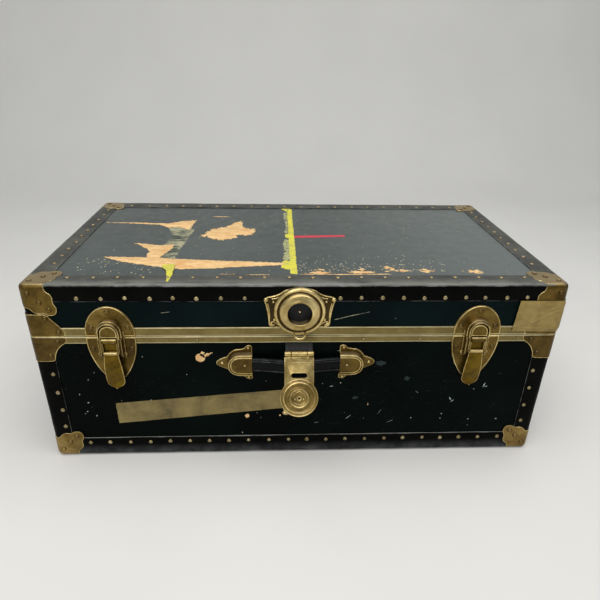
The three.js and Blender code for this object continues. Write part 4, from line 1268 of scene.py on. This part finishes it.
def hasp_sheet():
    """The slotted sheet, with its round end and the small ear on it."""
    meet = math.degrees(math.asin(HASP_HALF / DISC))
    outline = (Outline(-11.6, -2.4).line(-11.6, -5).line(-HASP_HALF + 1, -5)
               .curve(-HASP_HALF, -5, -HASP_HALF, -6.5, steps=3)
               .arc(0, -REACH, DISC, 90 + meet, 218, 14).arc(-20.5, -86.5, 4.6, 190, 262, 6)
               .arc(0, -REACH, DISC, 238, 450 - meet, 34).line(HASP_HALF, -6.5)
               .curve(HASP_HALF, -5, HASP_HALF - 1, -5, steps=3).line(11.6, -5)
               .line(11.6, -2.4).done())
    slot = (Outline(SLOT_HALF, SLOT - SLOT_RADIUS).arc(SLOT_HALF, SLOT, SLOT_RADIUS, -90, 90, 8)
            .arc(-SLOT_HALF, SLOT, SLOT_RADIUS, 90, 270, 8).done())
    return relief(outline, [(0, -2.3), (0, -1.2, 1), (0.3, -0.8, 1), (0.9, -0.7, 1), (1.6, -0.85)],
                  [slot], [(0, -2.3), (0, -0.9, 1), (0.4, -0.45, 1), (1.1, -0.5, 1), (1.7, -0.85)])


def hasp_boss():
    """The rings turned into the disc, and the lock's case behind it."""
    rings = revolve([
        (0, -2.2), (28.3, -2.2), (28.3, -0.4, 1), (27.6, 0.1, 1), (26.9, -0.5), (25.6, -0.9, 3),
        (24.9, -0.6, 3), (24.3, 0.5, 1), (23.4, 1.3, 1), (22.6, 1.4, 1), (21.9, 0.6, 1),
        (21.1, 0.0, 3), (19.0, -0.1, 3), (17.0, -0.1, 3), (15.9, 0.2, 3), (15.5, 1.5),
        (15.0, 3.0, 1), (14.3, 3.8, 1), (13.3, 3.9, 1), (12.4, 3.3), (11.6, 2.9, 3),
        (3.6, 3.0, 3), (2.6, 3.1, 1), (1.9, 2.8, 1), (1.7, 1.6, 2), (1.7, 0.8, 2),
        (0, 0.8, 2)], 0, -REACH, 64)
    case = revolve([(0, -9.5), (17.6, -9.5), (18.8, -8.6), (19, -7), (19, -2.0), (0, -2.0)], 0,
                   -REACH, 40)
    return [rings, case]


def disc_marks():
    """The chevrons and dots raised on the disc."""
    chevrons = [
        ridge([(x, -REACH + z) for x, z in [(-9.5, 1.5), (-8.0, 6.0), (-4.2, 8.4), (0, 11.2),
                                            (4.2, 8.4), (8.0, 6.0), (9.5, 1.5)]], 0.6, 2.7),
        ridge([(x, -REACH + z) for x, z in [(-8.0, -6.0), (-3.6, -9.0), (3.6, -9.0),
                                            (8.0, -6.0)]], 0.5, 2.7)]
    dots = [dome(r * math.cos(math.radians(a)), -REACH + r * math.sin(math.radians(a)), size, 0.7,
                 base, 10)
            for r, a, size, base in [(6.4, 190, 1.4, 2.95), (6.4, -10, 1.4, 2.95),
                                     (25.9, 60, 1.2, -0.8), (25.9, 120, 1.2, -0.8),
                                     (30.5, 226, 1.8, -0.9)]]
    return chevrons + dots


def hasp_flap():
    """The sheet, its knuckle and its folded and pressed edges, with the disc's boss."""
    knuckle = bar(BARREL, -11.5, 11.5, 0, 0, material=1)
    tabs = [block((x - 2.6, x + 2.6), (-0.9, 0.9), (-11, -4), 0.6) for x in (-13.5, 13.5)]
    flanges = [block(x, (-2.3, 1.6), (-42, -5.6), 0.7)
               for x in mirrored(HASP_HALF - 1.9, HASP_HALF)]
    flanges += [block((-HASP_HALF, HASP_HALF), (-0.9, 0.3), (-8.6, -5.2), 0.4),
                ridge([(-15, -13.5), (15, -13.5)], 0.7, -0.9),
                *[ridge([(x, -17) for x in span], 0.6, -0.9) for span in mirrored(9, 15)]]
    return merge(hasp_sheet(), knuckle, *hasp_boss(), *tabs, *flanges, *disc_marks())


def key_plug():
    """The plug in the back of the hasp's lock case, with its key slot."""
    body = revolve([(0, -4.8), (7, -4.8), (7, -9.7), (6.3, -10.2, 1), (4.2, -10.2), (0, -10.2)],
                   0, -REACH, 28)
    return merge(body, block((-1.1, 1.1), (-10.35, -10.1), (-REACH - 3.5, -REACH + 3.5), 0.1))


hang = (FACE["front"] @ Matrix.Translation((LOCK_X, -HINGE_OUT, HINGE_Z))
        @ Matrix.Rotation(math.radians(-TILT), 4, "X"))
piece("hasp_hinge_brass", hasp_bracket(), "case", LOCK_SET, lock_place,
      ["hasp_bracket"])
piece("hasp_hinge_shelf", hasp_shelf(), "case", [DARK, DARK], lock_place)
piece("hasp_flap_brass", hasp_flap(), "hasp_flap", [*LOCK_SET, GROOVE, DISC_FLAT], hang,
      ["hasp"], smooth=38)
piece("lock_key_plug", key_plug(), "key_plug", STEEL_SET, hang, ["lock_plug"])


# ---- Handles ------------------------------------------------------------------------------------

HANDLE_HALF, STRAP_HALF, STRAP_THICK = 66.0, 12.0, 4.0
STRAP_LOW, STRAP_RISE = 3, 6.9
BEADS = (9.6, 6.6, -9.4)
STITCH_Z, STITCH, STITCH_PITCH = -6.8, 2.4, 3.4
ENDS = (("a", -1), ("b", 1))


def handle_cap():
    """The cap points along +x, with its mouth at x = 0."""
    foot = (Outline(0, -28.5).curve(7, -33.5, 12, -25.5, steps=6)
            .curve(17, -23.5, 24, -23.5, steps=5).curve(33, -21, 38, -11, steps=7)
            .curve(57, -5, 57, 0, 57, 5, 38, 11, steps=14)
            .curve(33, 21, 24, 23.5, steps=7).curve(17, 23.5, 12, 25.5, steps=5)
            .curve(7, 33.5, 0, 28.5, steps=6).done())
    shell = (Outline(0, -18.5).line(16, -18.5).curve(30, -18.5, 37, -11, 37, 0, steps=14)
             .curve(37, 11, 30, 18.5, 16, 18.5, steps=14).line(0, 18.5).done())
    plate = relief(foot, [(0, -2.5), (0, -1.4, 1), (0.3, -0.8, 1), (1.0, -0.45, 1), (2.0, -0.6),
                          (3.2, -0.75)])
    raised = relief(shell, [(0, SKIN), (0, 4.8), (0.5, 7.6), (1.4, 9.2, 1), (2.5, 9.5, 1),
                            (3.5, 9.0), (4.1, 8.6), (4.9, 9.1, 1), (5.8, 9.0, 1), (6.8, 8.3),
                            (8.0, 8.1)], flat_x=0)
    studs = [dome(45.5, 0, 2.6, 1.6, -0.6), dome(6, -26, 2.2, 1.4, -0.6),
             dome(6, 26, 2.2, 1.4, -0.6), dome(11, 0, 2.2, 1.2, 8.1)]
    return merge(plate, raised, *studs)


def strap_back(x):
    """The stand-off of the strap's back, which bows out between the caps."""
    along = min(abs(x) / HANDLE_HALF, 1)
    return STRAP_LOW + STRAP_RISE * (0.5 + 0.5 * math.cos(math.pi * along))


def strap(start, end, steps=60):
    """A padded leather strap with beaded edges, from x = start to x = end."""
    face, marks = [], []
    for k in range(37):
        z = STRAP_HALF * (k / 18 - 1)
        crown = 0.5 * (1 - (z / STRAP_HALF) ** 2)
        bead = max(math.exp(-((z - at) / 0.7) ** 2) for at in BEADS)
        edge = 1.3 * max(abs(z) / STRAP_HALF - 0.93, 0) / 0.07
        face.append((z, STRAP_THICK - 0.7 + crown + 0.8 * bead - edge))
        # Bead crests take material 1, a painted highlight.
        marks.append(1 if bead > 0.45 else 0)
    section = face + [(STRAP_HALF - 0.3, 0.5), (STRAP_HALF - 1.2, 0), (-STRAP_HALF + 1.2, 0),
                      (-STRAP_HALF + 0.3, 0.5)]
    rows = []
    for k in range(steps + 1):
        x = start + (end - start) * k / steps
        rows.append([(x, -strap_back(x) - out, z) for z, out in section])
    return skin(rows, close_columns=True, cap=True, materials=marks + [0] * 4)


def stitches(start, end):
    """Short thread stitches along the strap, with a gap after each."""
    made = []
    x = start
    while x < end - STITCH:
        out = strap_back(x + STITCH / 2) + STRAP_THICK
        made.append(tube([Vector((x + along, -out + sink, STITCH_Z)) for along, sink in
                          [(0.2, 0.25), (STITCH / 2, -0.12), (STITCH - 0.2, 0.25)]], 0.32, 6))
        x += STITCH_PITCH
    return made


for name, face, centre_x, height in [
        ("front_handle", "front", -5, 178), ("left_handle", "left", 0, 135),
        ("right_handle", "right", 0, 135)]:
    where = FACE[face] @ Matrix.Translation((centre_x, 0, height))
    for end, side in ENDS:
        mirror = Matrix.Translation((side * HANDLE_HALF, 0, 0)) @ Matrix.Diagonal(
            (side, 1, 1, 1))
        piece(f"{name}_cap_{end}_brass", handle_cap(), "case", BRASS_SET, where @ mirror,
              [f"{name}_cap_{end}"], smooth=38)
    if face == "front":
        body = merge(strap(-86, 86), *stitches(-64, 64))
        piece(f"{name}_leather", body, "case", LEATHER_SET, where,
              [f"{name}_strap"], smooth=50)
        continue
    strap_body = f"{face}_strap"
    for end, side in ENDS:
        first, last = sorted((0, side * 84))
        body = merge(strap(first, last, 30), *stitches(first + 1.2, min(last, 64)))
        half = piece(f"{name}_leather_{end}", body, strap_body, LEATHER_SET, where,
                     [f"{name}_strap"] if end == "a" else [], smooth=50, ride=False)
        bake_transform(half)


# ---- Back hinges --------------------------------------------------------------------------------

BACK_HINGE_OUT = 3.6


def hinge_leaf(side):
    """side is 1 for the lid's leaf and -1 for the base's."""
    outline = (Outline(-30, 0.8).line(30, 0.8).line(30, 26).curve(30, 32, 24, 32, steps=5)
               .line(-24, 32).curve(-30, 32, -30, 26, steps=5).done())
    plate = relief(outline, [(0, -1), (0, -0.1), (0.2, 0.25, 1), (0.7, 0.4, 1), (1.4, 0.4)])
    spans = [(-11.8, 11.8)] if side > 0 else mirrored(12.2, 30)
    knuckles = [bar(3.0, *x, BACK_HINGE_OUT, 0, material=1) for x in spans]
    necks = [block(x, (-0.9, 3.4), (0.7, 2.4), 0.3) for x in spans]
    screws = []
    for x, z in [(-22, 9), (22, 9), (-22, 25), (22, 25), (0, 19)]:
        screws += [revolve([(0, 0.2), (3.6, 0.2), (3.4, 0.9, 1), (2.4, 1.3, 1), (0, 1.35, 1)],
                           x, z, 18)]
    pins = [] if side > 0 else [bar(PIN, -13, 13, BACK_HINGE_OUT, 0)]
    solid = merge(plate, *knuckles, *necks, *screws, *pins)
    return moved(solid, Matrix.Diagonal((1, 1, side, 1)))


for place, x in (("left", 235), ("right", -235)):
    where = FACE["back"] @ Matrix.Translation((x, 0, SEAM))
    piece(f"{place}_hinge_lid_brass", hinge_leaf(1), "lid", BRASS_SET, where,
          [f"{place}_hinge_lid_leaf"])
    piece(f"{place}_hinge_base_brass", hinge_leaf(-1), "case", BRASS_SET, where,
          [f"{place}_hinge_base_leaf"])


# ---- Lid stay -----------------------------------------------------------------------------------
# Drawn in the left end's inside plane: x is world y, z is world z and -y is into the case.

def stay_frame(left):
    """The frame of a stay's part whose back is at x = left."""
    return WORLD @ Matrix.Translation((left, 0, 0)) @ Matrix.Rotation(math.radians(90), 4, "Z")


def node_centre(node):
    """The middle of a CAD node's box, in millimetres."""
    low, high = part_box(node)
    return (low + high) / 2 / MM


ARM_HALF = 6
base_stud = Vector(node_centre("stay_base_bracket").yz)
lid_stud = Vector(node_centre("stay_lid_bracket").yz)
arm_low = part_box("stay_upper_arm")[0] / MM
elbow = Vector((arm_low.y + ARM_HALF, arm_low.z + ARM_HALF))
PLATE_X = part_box("stay_base_bracket")[0].x / MM
LOWER_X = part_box("stay_lower_arm")[0].x / MM
UPPER_X = arm_low.x


def stay_bracket(at, length):
    """A square plate with four screws and a stud of a length that an arm turns on."""
    outline = [Vector((at.x + x, at.y + z)) for x, z in
               Outline(-12, -9).curve(-12, -12, -9, -12, steps=4).line(9, -12)
               .curve(12, -12, 12, -9, steps=4).line(12, 9).curve(12, 12, 9, 12, steps=4)
               .line(-9, 12).curve(-12, 12, -12, 9, steps=4).done()]
    screws = [dome(at.x + x, at.y + z, 1.9, 0.8, 1.4, 12) for x in (-8.5, 8.5) for z in (-8.5, 8.5)]
    stud = revolve([(0, 0), (2.2, 0), (2.2, length), (3.4, length), (3.2, length + 0.9, 1),
                    (0, length + 1.2, 1)], at.x, at.y, 20)
    return merge(relief(outline, [(0, 0), (0, 1.2), (0.3, 1.5, 1), (0.8, 1.5, 1)]), stud, *screws)


def stay_arm(a, b, rivet_at=None):
    """A flat arm with round ends at a and b, and a rivet if it carries one."""
    along = (b - a).normalized()
    angle = math.degrees(math.atan2(along.y, along.x))
    outline = (Outline(*(a + Vector((along.y, -along.x)) * -ARM_HALF))
               .arc(a.x, a.y, ARM_HALF, angle + 90, angle + 270, 12)
               .arc(b.x, b.y, ARM_HALF, angle - 90, angle + 90, 12).done())
    arm = relief(outline, [(0, 0), (0, 1.1), (0.3, 1.5, 1), (0.9, 1.5, 1)])
    rib = ridge([a + along * 14, b - along * 14], 1.0, 1.4, material=0)
    parts = [arm, rib]
    if rivet_at is not None:
        parts.append(revolve([(0, -0.4), (2.2, -0.4), (2.2, 4.1), (3.6, 4.1), (3.3, 5.0, 1),
                              (0, 5.3, 1)], rivet_at.x, rivet_at.y, 20))
    return merge(*parts)


piece("stay_base_plate", stay_bracket(base_stud, 3.6), "case", STEEL_SET, stay_frame(PLATE_X),
      ["stay_base_bracket"])
piece("stay_lid_plate", stay_bracket(lid_stud, 6.0), "lid", STEEL_SET, stay_frame(PLATE_X),
      ["stay_lid_bracket"])
piece("stay_lower_bar", stay_arm(base_stud, elbow, elbow), "stay_lower", STEEL_SET,
      stay_frame(LOWER_X), ["stay_lower_arm"])
piece("stay_upper_bar", stay_arm(elbow, lid_stud), "stay_upper", STEEL_SET,
      stay_frame(UPPER_X), ["stay_upper_arm"])


# ---- Lining -------------------------------------------------------------------------------------

PAPER, CLEAR = 0.2, 0.3


def lining_tray(floor, rim):
    """Paper over the inside of the base or the lid, a little clear of the wood."""
    half_x = -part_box("left_end_panel")[1].x / MM - CLEAR
    low_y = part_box("front_panel")[1].y / MM + CLEAR
    high_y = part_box("back_panel")[0].y / MM - CLEAR
    half_y, middle = (high_y - low_y) / 2, (high_y + low_y) / 2
    way = 1 if rim > floor else -1
    rows = []
    for inset, height in [(0, rim), (0, floor + way * 4), (1.2, floor + way * 1.2), (4, floor)]:
        corners = rounded_corners(half_x - inset, half_y - inset, middle, 4 - inset * 0.9,
                                  height, 5)
        rows.append([point for corner in corners for point in corner])
    bm = skin(rows, close_columns=True)
    bm.verts.ensure_lookup_table()
    floor_face = bm.faces.new(bm.verts[-len(rows[-1]):])
    outward(bm).normal_update()
    if floor_face.normal.z * way < 0:
        bmesh.ops.reverse_faces(bm, faces=bm.faces)
    return thicken(bm, PAPER, 0)


floor_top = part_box("bottom_panel")[1].z / MM
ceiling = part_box("lid_top_panel")[0].z / MM
piece("base_lining", lining_tray(floor_top + CLEAR, SEAM - 3), "case", [LINING, LINING])
piece("lid_lining", lining_tray(ceiling - CLEAR, SEAM + 3), "lid", [LINING, LINING])


# ---- Wear, tape and stickers --------------------------------------------------------------------

def ragged(points, amount, step, seed):
    """The outline with torn edges."""
    made = []
    draw = random.Random(seed)
    for i, a in enumerate(points):
        b = points[(i + 1) % len(points)]
        count = max(1, int((b - a).length / step))
        side = Vector((-(b - a).y, (b - a).x)).normalized()
        for k in range(count):
            p = a.lerp(b, k / count)
            made.append(p + side * draw.uniform(-amount, amount) * (0.3 if k == 0 else 1))
    return made


def film(outline, surface, amount, step, seed, thick):
    """A thin film with torn edges on a face, with its outline in face coordinates."""
    points = [Vector(p) for p in outline]
    area = sum(a.x * b.y - b.x * a.y for a, b in zip(points, points[1:] + points[:1]))
    if area < 0:
        points.reverse()
    points = ragged(points, amount, step, seed)
    return relief(points, [(0, surface - 0.1), (0, surface + thick * 0.7), (0.1, surface + thick)])


TOP_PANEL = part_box("lid_top_panel")[1].z / MM - TOP
BAND_TOP = -1.1
# A mark on the lid is given by its distance along the lid and its distance from the front edge.
from_front = Matrix.Translation((0, 0, FRONT))


def on_top(name, outlines, material, amount, step, thick=0.16, surface=TOP_PANEL):
    """Films on the lid; neighbours differ a little in height, so that none lie in one plane."""
    films = [film(o, surface, amount, step, seed, thick + 0.011 * (seed % 9))
             for seed, o in enumerate(outlines)]
    piece(name, merge(*films), "lid", [material], FACE["top"] @ from_front)


on_top("top_tears", [
    [(-308, 112), (-290, 100), (-270, 89), (-232, 76), (-180, 61), (-132, 64), (-80, 71), (-24, 78),
     (-20, 86), (-70, 91), (-132, 96), (-190, 102), (-232, 108)],
    [(-358, 286), (-300, 281), (-250, 274), (-232, 256), (-214, 262), (-192, 244), (-189, 280),
     (-186, 302), (-210, 298), (-236, 281), (-300, 286)],
    [(-276, 176), (-262, 164), (-250, 150), (-238, 134), (-242, 122), (-236, 106), (-218, 106),
     (-212, 128), (-205, 150), (-206, 168), (-226, 163), (-250, 169)],
], TORN, 1.5, 2.6)
on_top("top_blob_tear", [
    [(-170, 206), (-160, 226), (-150, 250), (-130, 262), (-118, 280), (-103, 304), (-96, 268),
     (-88, 254), (-72, 250), (-74, 230), (-84, 214), (-100, 220), (-106, 200), (-126, 188),
     (-146, 196), (-158, 212)],
], TORN, 4.2, 2.6)
on_top("top_thin_tear", [
    [(-236, 106), (-194, 104), (-192, 140), (-190, 172), (-186, 210), (-182, 244), (-188, 262),
     (-210, 268), (-232, 258), (-224, 236), (-216, 210), (-220, 182), (-222, 160), (-214, 138),
     (-226, 122)],
], TORN_SKIN, 1.6, 3.0, 0.1)
long_chips = [
    [(x, y), (x + 0.4 * w, y - d), (x + w, y - 0.3 * d), (x + 0.8 * w, y + d), (x + 0.2 * w, y + d)]
    for x, y, w, d in [(-122, 42, 34, 1.0), (-84, 40, 40, 0.9), (-2, 42, 46, 1.4),
                       (14, 47, 34, 3.2), (40, 41, 60, 1.4), (74, 49, 40, 4.0), (96, 42, 42, 1.5),
                       (-158, 326, 34, 1.4)]
]


def chip_cluster(x, y, spread, count):
    """Chips of all sizes round a place, the largest in the middle."""
    made = []
    for _ in range(count):
        away = rng.gauss(0, 0.5)
        size = rng.uniform(0.8, 3.4) * max(1 - abs(away), 0.25)
        at_x, at_y = x + away * spread, y + rng.gauss(0, 0.22) * spread
        made.append([(at_x + size * rng.uniform(1.0, 2.4) * math.cos(a),
                      at_y + size * rng.uniform(0.6, 1.3) * math.sin(a))
                     for a in [math.radians(51.4 * k) for k in range(7)]])
    return made


clusters = [chip_cluster(*spot) for spot in [
    (30, 53, 20, 10), (94, 56, 26, 20), (138, 62, 18, 16), (157, 55, 16, 14), (193, 57, 15, 18),
    (268, 53, 17, 22)]]
on_top("front_band_chips", long_chips + sum(clusters, []), TORN, 0.8, 1.6)
near_front = [circle(rng.uniform(-10, 230), min(52 + abs(rng.gauss(0, 26)), 372),
                     rng.uniform(0.5, 1.5), 5) for _ in range(150)]
all_over = [circle(rng.uniform(-330, 340), rng.uniform(46, 370), rng.uniform(0.4, 1.2), 5)
            for _ in range(180)]
on_top("top_flecks", near_front + all_over, PALE_FLECK, 0.25, 1.0, 0.08)
speckle = random.Random(5)
on_top("top_left_flecks", [
    circle(speckle.uniform(-335, -215), speckle.uniform(36, 104), speckle.uniform(0.5, 1.5), 5)
    for _ in range(70)], PALE_FLECK, 0.3, 1.0, 0.08)
on_top("yellow_sticker", [
    [(-13, 44), (-3, 42), (-2, 381), (-10, 384), (-12, 340), (-12, 300), (-12, 240),
     (-13, 180), (-13, 120), (-14, 80)],
    [(-24, 384), (-11, 384), (-12, 362), (-18, 372)],
    [(-27, 66), (-12, 58), (-12, 92), (-20, 98), (-26, 88)],
    [(-18, 206), (-12, 200), (-12, 226), (-19, 222)],
], YELLOW, 0.9, 3.0, 0.1)
on_top("yellow_sticker_corner", [
    [(-208, 74), (-189, 78), (-187, 56), (-186, 34), (-187, 12), (-190, 12), (-194, 34),
     (-198, 54), (-205, 62)],
], YELLOW, 0.9, 3.0, 0.12, BAND_TOP)
on_top("yellow_remnants", [
    [(-24, 100), (-13, 98), (-13, 130), (-17, 140), (-22, 128)],
    [(-21, 140), (-13, 136), (-13, 190), (-19, 196), (-23, 170)],
    [(-20, 232), (-13, 228), (-13, 300), (-18, 306), (-16, 262)],
    [(-19, 312), (-13, 308), (-13, 356), (-20, 350)],
], STICKER_BASE, 1.1, 2.4, 0.09)
on_top("red_line_mark", [[(-2, 204), (40, 206), (88, 210), (89, 220), (40, 217), (-2, 215)]], RED,
       0.5, 3.0, 0.12)


def on_front(name, outlines, body, material, amount, step):
    """Films on the front, of the base or of the lid."""
    films = [film(o, PANEL, amount, step, seed, 0.14) for seed, o in enumerate(outlines)]
    piece(name, merge(*films), body, [material], FACE["front"])


def shard(x, z, size, points):
    """A chip of uneven outline."""
    return [(x + size * rng.uniform(0.55, 1.25) * math.cos(a),
             z + size * rng.uniform(0.55, 1.25) * math.sin(a))
            for a in [2 * math.pi * k / points for k in range(points)]]


def scratch(x, z, length, lean, wide):
    """A narrow slanted mark that tapers at both ends."""
    along = Vector((math.cos(math.radians(lean)), math.sin(math.radians(lean))))
    across = Vector((-along.y, along.x)) * wide
    middle, half = Vector((x, z)), along * (length / 2)
    return [middle - half, middle - across, middle + half, middle + across]


on_front("front_chips", [
    circle(-149, 186, 7.4, 20),
    [(-149, 189), (-143, 186), (-135, 191.4), (-130, 195.4), (-138, 194)],
    [(-151, 190), (-146, 189), (-142, 195.4), (-146, 197.4)],
    shard(-81, 75, 4.2, 8), shard(-29, 76, 1.6, 6), shard(112, 95, 1.2, 6)],
    "case", TORN, 0.9, 1.5)
on_front("front_scratches", [scratch(*spot) for spot in [
    (51.6, 131.5, 6, 10, 0.9), (81, 70, 15, 46, 0.5), (131.6, 79.5, 12, 60, 0.3),
    (245, 105, 8, 118, 1.1), (249, 101, 7, 40, 0.7), (296, 131, 10, 75, 1.3),
    (299, 128, 6, 20, 0.8), (235, 74.7, 3, 80, 1.1), (112, 97, 6, 95, 0.4), (281, 63, 4, 45, 0.7),
    (328, 63, 4, 10, 1.1), (-338, 121, 3, 70, 0.9), (-327, 105, 4, 0, 1.0), (-331, 88, 3, 20, 0.9),
    (-318, 79.5, 4, 70, 1.1), (-335, 84, 2, 70, 0.8), (60, 197, 5, 8, 0.6), (150, 60, 14, 30, 0.3),
    (190, 118, 10, 140, 0.3), (30, 60, 9, 12, 0.3)]], "case", WHITE_SCUFF, 0.2, 1.2)
on_front("front_scuffs", [
    [(118, 172), (126, 169), (135, 172), (134, 177), (126, 179), (119, 177)],
    [(166, 142), (173, 141), (175, 146), (170, 149), (165, 146)],
    [(84, 108), (92, 106), (96, 110), (88, 112)]], "case", DULL_SCUFF, 1.2, 1.4)
on_front("lid_scratch", [
    [(50, 249.6), (76, 256.6), (102, 262.6), (102, 263.4), (76, 257.6), (50, 250.4)],
    [(-200, 262), (-188, 263.6), (-188, 264.2), (-200, 262.6)]], "lid", TORN_SKIN, 0.15, 3)


def tape(columns, rows, place, crease, seed):
    """A strip of tape: place(u, v) gives the point and outward way for u and v from 0 to 1."""
    grid = []
    for i in range(columns + 1):
        line = []
        for j in range(rows + 1):
            p, way = place(i / columns, j / rows)
            line.append(p + way * (crease * noise.noise(
                Vector((p.x * 0.05 + seed, p.z * 0.16, p.x * 0.02 + p.y * 0.04)))))
        grid.append(line)
    bm = skin(grid)
    bm.normal_update()
    _, way = place(0, 0.5)
    if sum(f.normal.dot(way) for f in list(bm.faces)[:rows * 2]) < 0:
        bmesh.ops.reverse_faces(bm, faces=bm.faces)
    return thicken(bm, 0.12, 0)


def strip_place(u, v):
    """The front strip: level with its ends torn, tilted a few degrees."""
    top_left, top_right = Vector((-285.5, 103.5)), Vector((-26, 126))
    low_left, low_right = Vector((-284.8, 64.5)), Vector((-24, 90.5))
    a, b = low_left.lerp(low_right, u), top_left.lerp(top_right, u)
    p = a.lerp(b, v)
    if u in (0, 1):
        p.x += 1.3 * noise.noise(Vector((v * 9, u * 5, 2)))
    return Vector((p.x, -PANEL - 0.45, p.y)), Vector((0, -1, 0))


PATCH_LEFT, PATCH_WRAP = 319, 26.0
PATCH_CREASES = [((0.24, 0.3), (0.56, 0.7), 1.0), ((0.14, 0.12), (0.58, 0.1), 0.9),
                 ((0.3, 0.56), (0.56, 0.82), 0.8), ((0.1, 0.46), (0.3, 0.22), 0.6)]


def patch_place(u, v):
    """The patch round the lid's right front corner, its right end a little lower at the foot."""
    z = PATCH_LOW + v * (PATCH_HIGH - PATCH_LOW) - 2.2 * u * (1 - v)
    start = PATCH_LEFT + 3.5 * v + 0.5 * noise.noise(Vector((v * 8, 3, 1)))
    radius = UPRIGHT_RADIUS
    within = min(v, 1 - v, u * 1.4, 0.14) / 0.14
    out = 0.5 + 1.3 * within * within * (3 - 2 * within)
    for a, b, lift in PATCH_CREASES:
        gap = distance_to(u, v, [Vector(a), Vector(b)])
        out += lift * math.exp(-(gap / 0.018) ** 2)
    straight = HALF_WIDTH - radius - start
    arc = math.pi / 2 * (radius + out)
    s = u * (straight + arc + PATCH_WRAP)
    if s < straight:
        return Vector((start + s, -out, z)), Vector((0, -1, 0))
    if s < straight + arc:
        a = (s - straight) / (radius + out)
        way = Vector((math.sin(a), -math.cos(a), 0))
        return Vector((HALF_WIDTH - radius, radius, z)) + way * (radius + out), way
    return Vector((HALF_WIDTH + out, radius + s - straight - arc, z)), Vector((1, 0, 0))


strip = piece("front_tape_strip", tape(90, 12, strip_place, 0.5, 3.0), "case",
              [OLD_TAPE, OLD_TAPE], FACE["front"])
corner_patch = piece("lid_corner_tape", tape(112, 60, patch_place, 0.4, 8.0), "lid", [TAPE, TAPE],
                     FACE["front"])

# ---- Stage, lights and camera -------------------------------------------------------------------

WALL_Y, SWEEP, SIDE = 2.1, 0.7, 6.0
sweep_rows = [(-3.5, 0.0), (WALL_Y - SWEEP, 0.0)]
sweep_rows += [(WALL_Y - SWEEP + SWEEP * math.sin(a), SWEEP - SWEEP * math.cos(a))
               for a in [math.radians(7.5 * k) for k in range(1, 13)]]
sweep_rows.append((WALL_Y, 4.0))
stage = skin([[(x, y, z) for y, z in sweep_rows] for x in (-SIDE, SIDE)])
floor = piece("floor", stage, None, [stage_shader("pale_cloth", colour(226, 225, 221))],
              IN_METRES, ride=False)
floor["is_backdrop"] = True

world = bpy.data.worlds.new("studio")
bpy.context.scene.world = world
world.use_nodes = True
sky = world.node_tree.nodes["Background"].inputs
sky["Color"].default_value, sky["Strength"].default_value = (0.92, 0.95, 1.0, 1), 0.36


def soft_light(name, place, aim, size, power, tint):
    """An area lamp that looks from a place at an aim."""
    data = bpy.data.lights.new(name, "AREA")
    data.shape, data.size, data.size_y = "RECTANGLE", size[0], size[1]
    data.energy, data.color = power, tint
    lamp = bpy.data.objects.new(name, data)
    bpy.context.scene.collection.objects.link(lamp)
    lamp.location = place
    lamp.rotation_euler = (Vector(aim) - Vector(place)).to_track_quat("-Z", "Y").to_euler()


soft_light("overhead", (0.1, -0.6, 2.2), (0, -0.3, 0), (3.0, 2.2), 47, (1, 0.99, 0.97))
soft_light("front_fill", (-0.9, -2.2, 1.7), (0, 0, 0.1), (1.8, 1.2), 14, (1, 0.98, 0.95))

EYE = Vector((-0.0367, -0.8413, 0.607))
YAW, PITCH, ROLL = math.radians(3.13), math.radians(26.27), math.radians(-1.27)
SENSOR, LENS = 36.0, 30.648

camera = bpy.data.objects.new("camera", bpy.data.cameras.new("camera"))
bpy.context.scene.collection.objects.link(camera)
bpy.context.scene.camera = camera
camera.data.sensor_width, camera.data.lens, camera.data.clip_start = SENSOR, LENS, 0.02
ahead = Vector((math.sin(YAW) * math.cos(PITCH), math.cos(YAW) * math.cos(PITCH),
                -math.sin(PITCH)))
level_way = Vector((math.cos(YAW), -math.sin(YAW), 0))
down = ahead.cross(level_way)
right_way = level_way * math.cos(ROLL) + down * math.sin(ROLL)
down_way = down * math.cos(ROLL) - level_way * math.sin(ROLL)
camera.matrix_world = Matrix.Translation(EYE) @ Matrix(
    (right_way, -down_way, -ahead)).transposed().to_4x4()
bpy.context.scene.view_settings.view_transform = "Standard"

low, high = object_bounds()
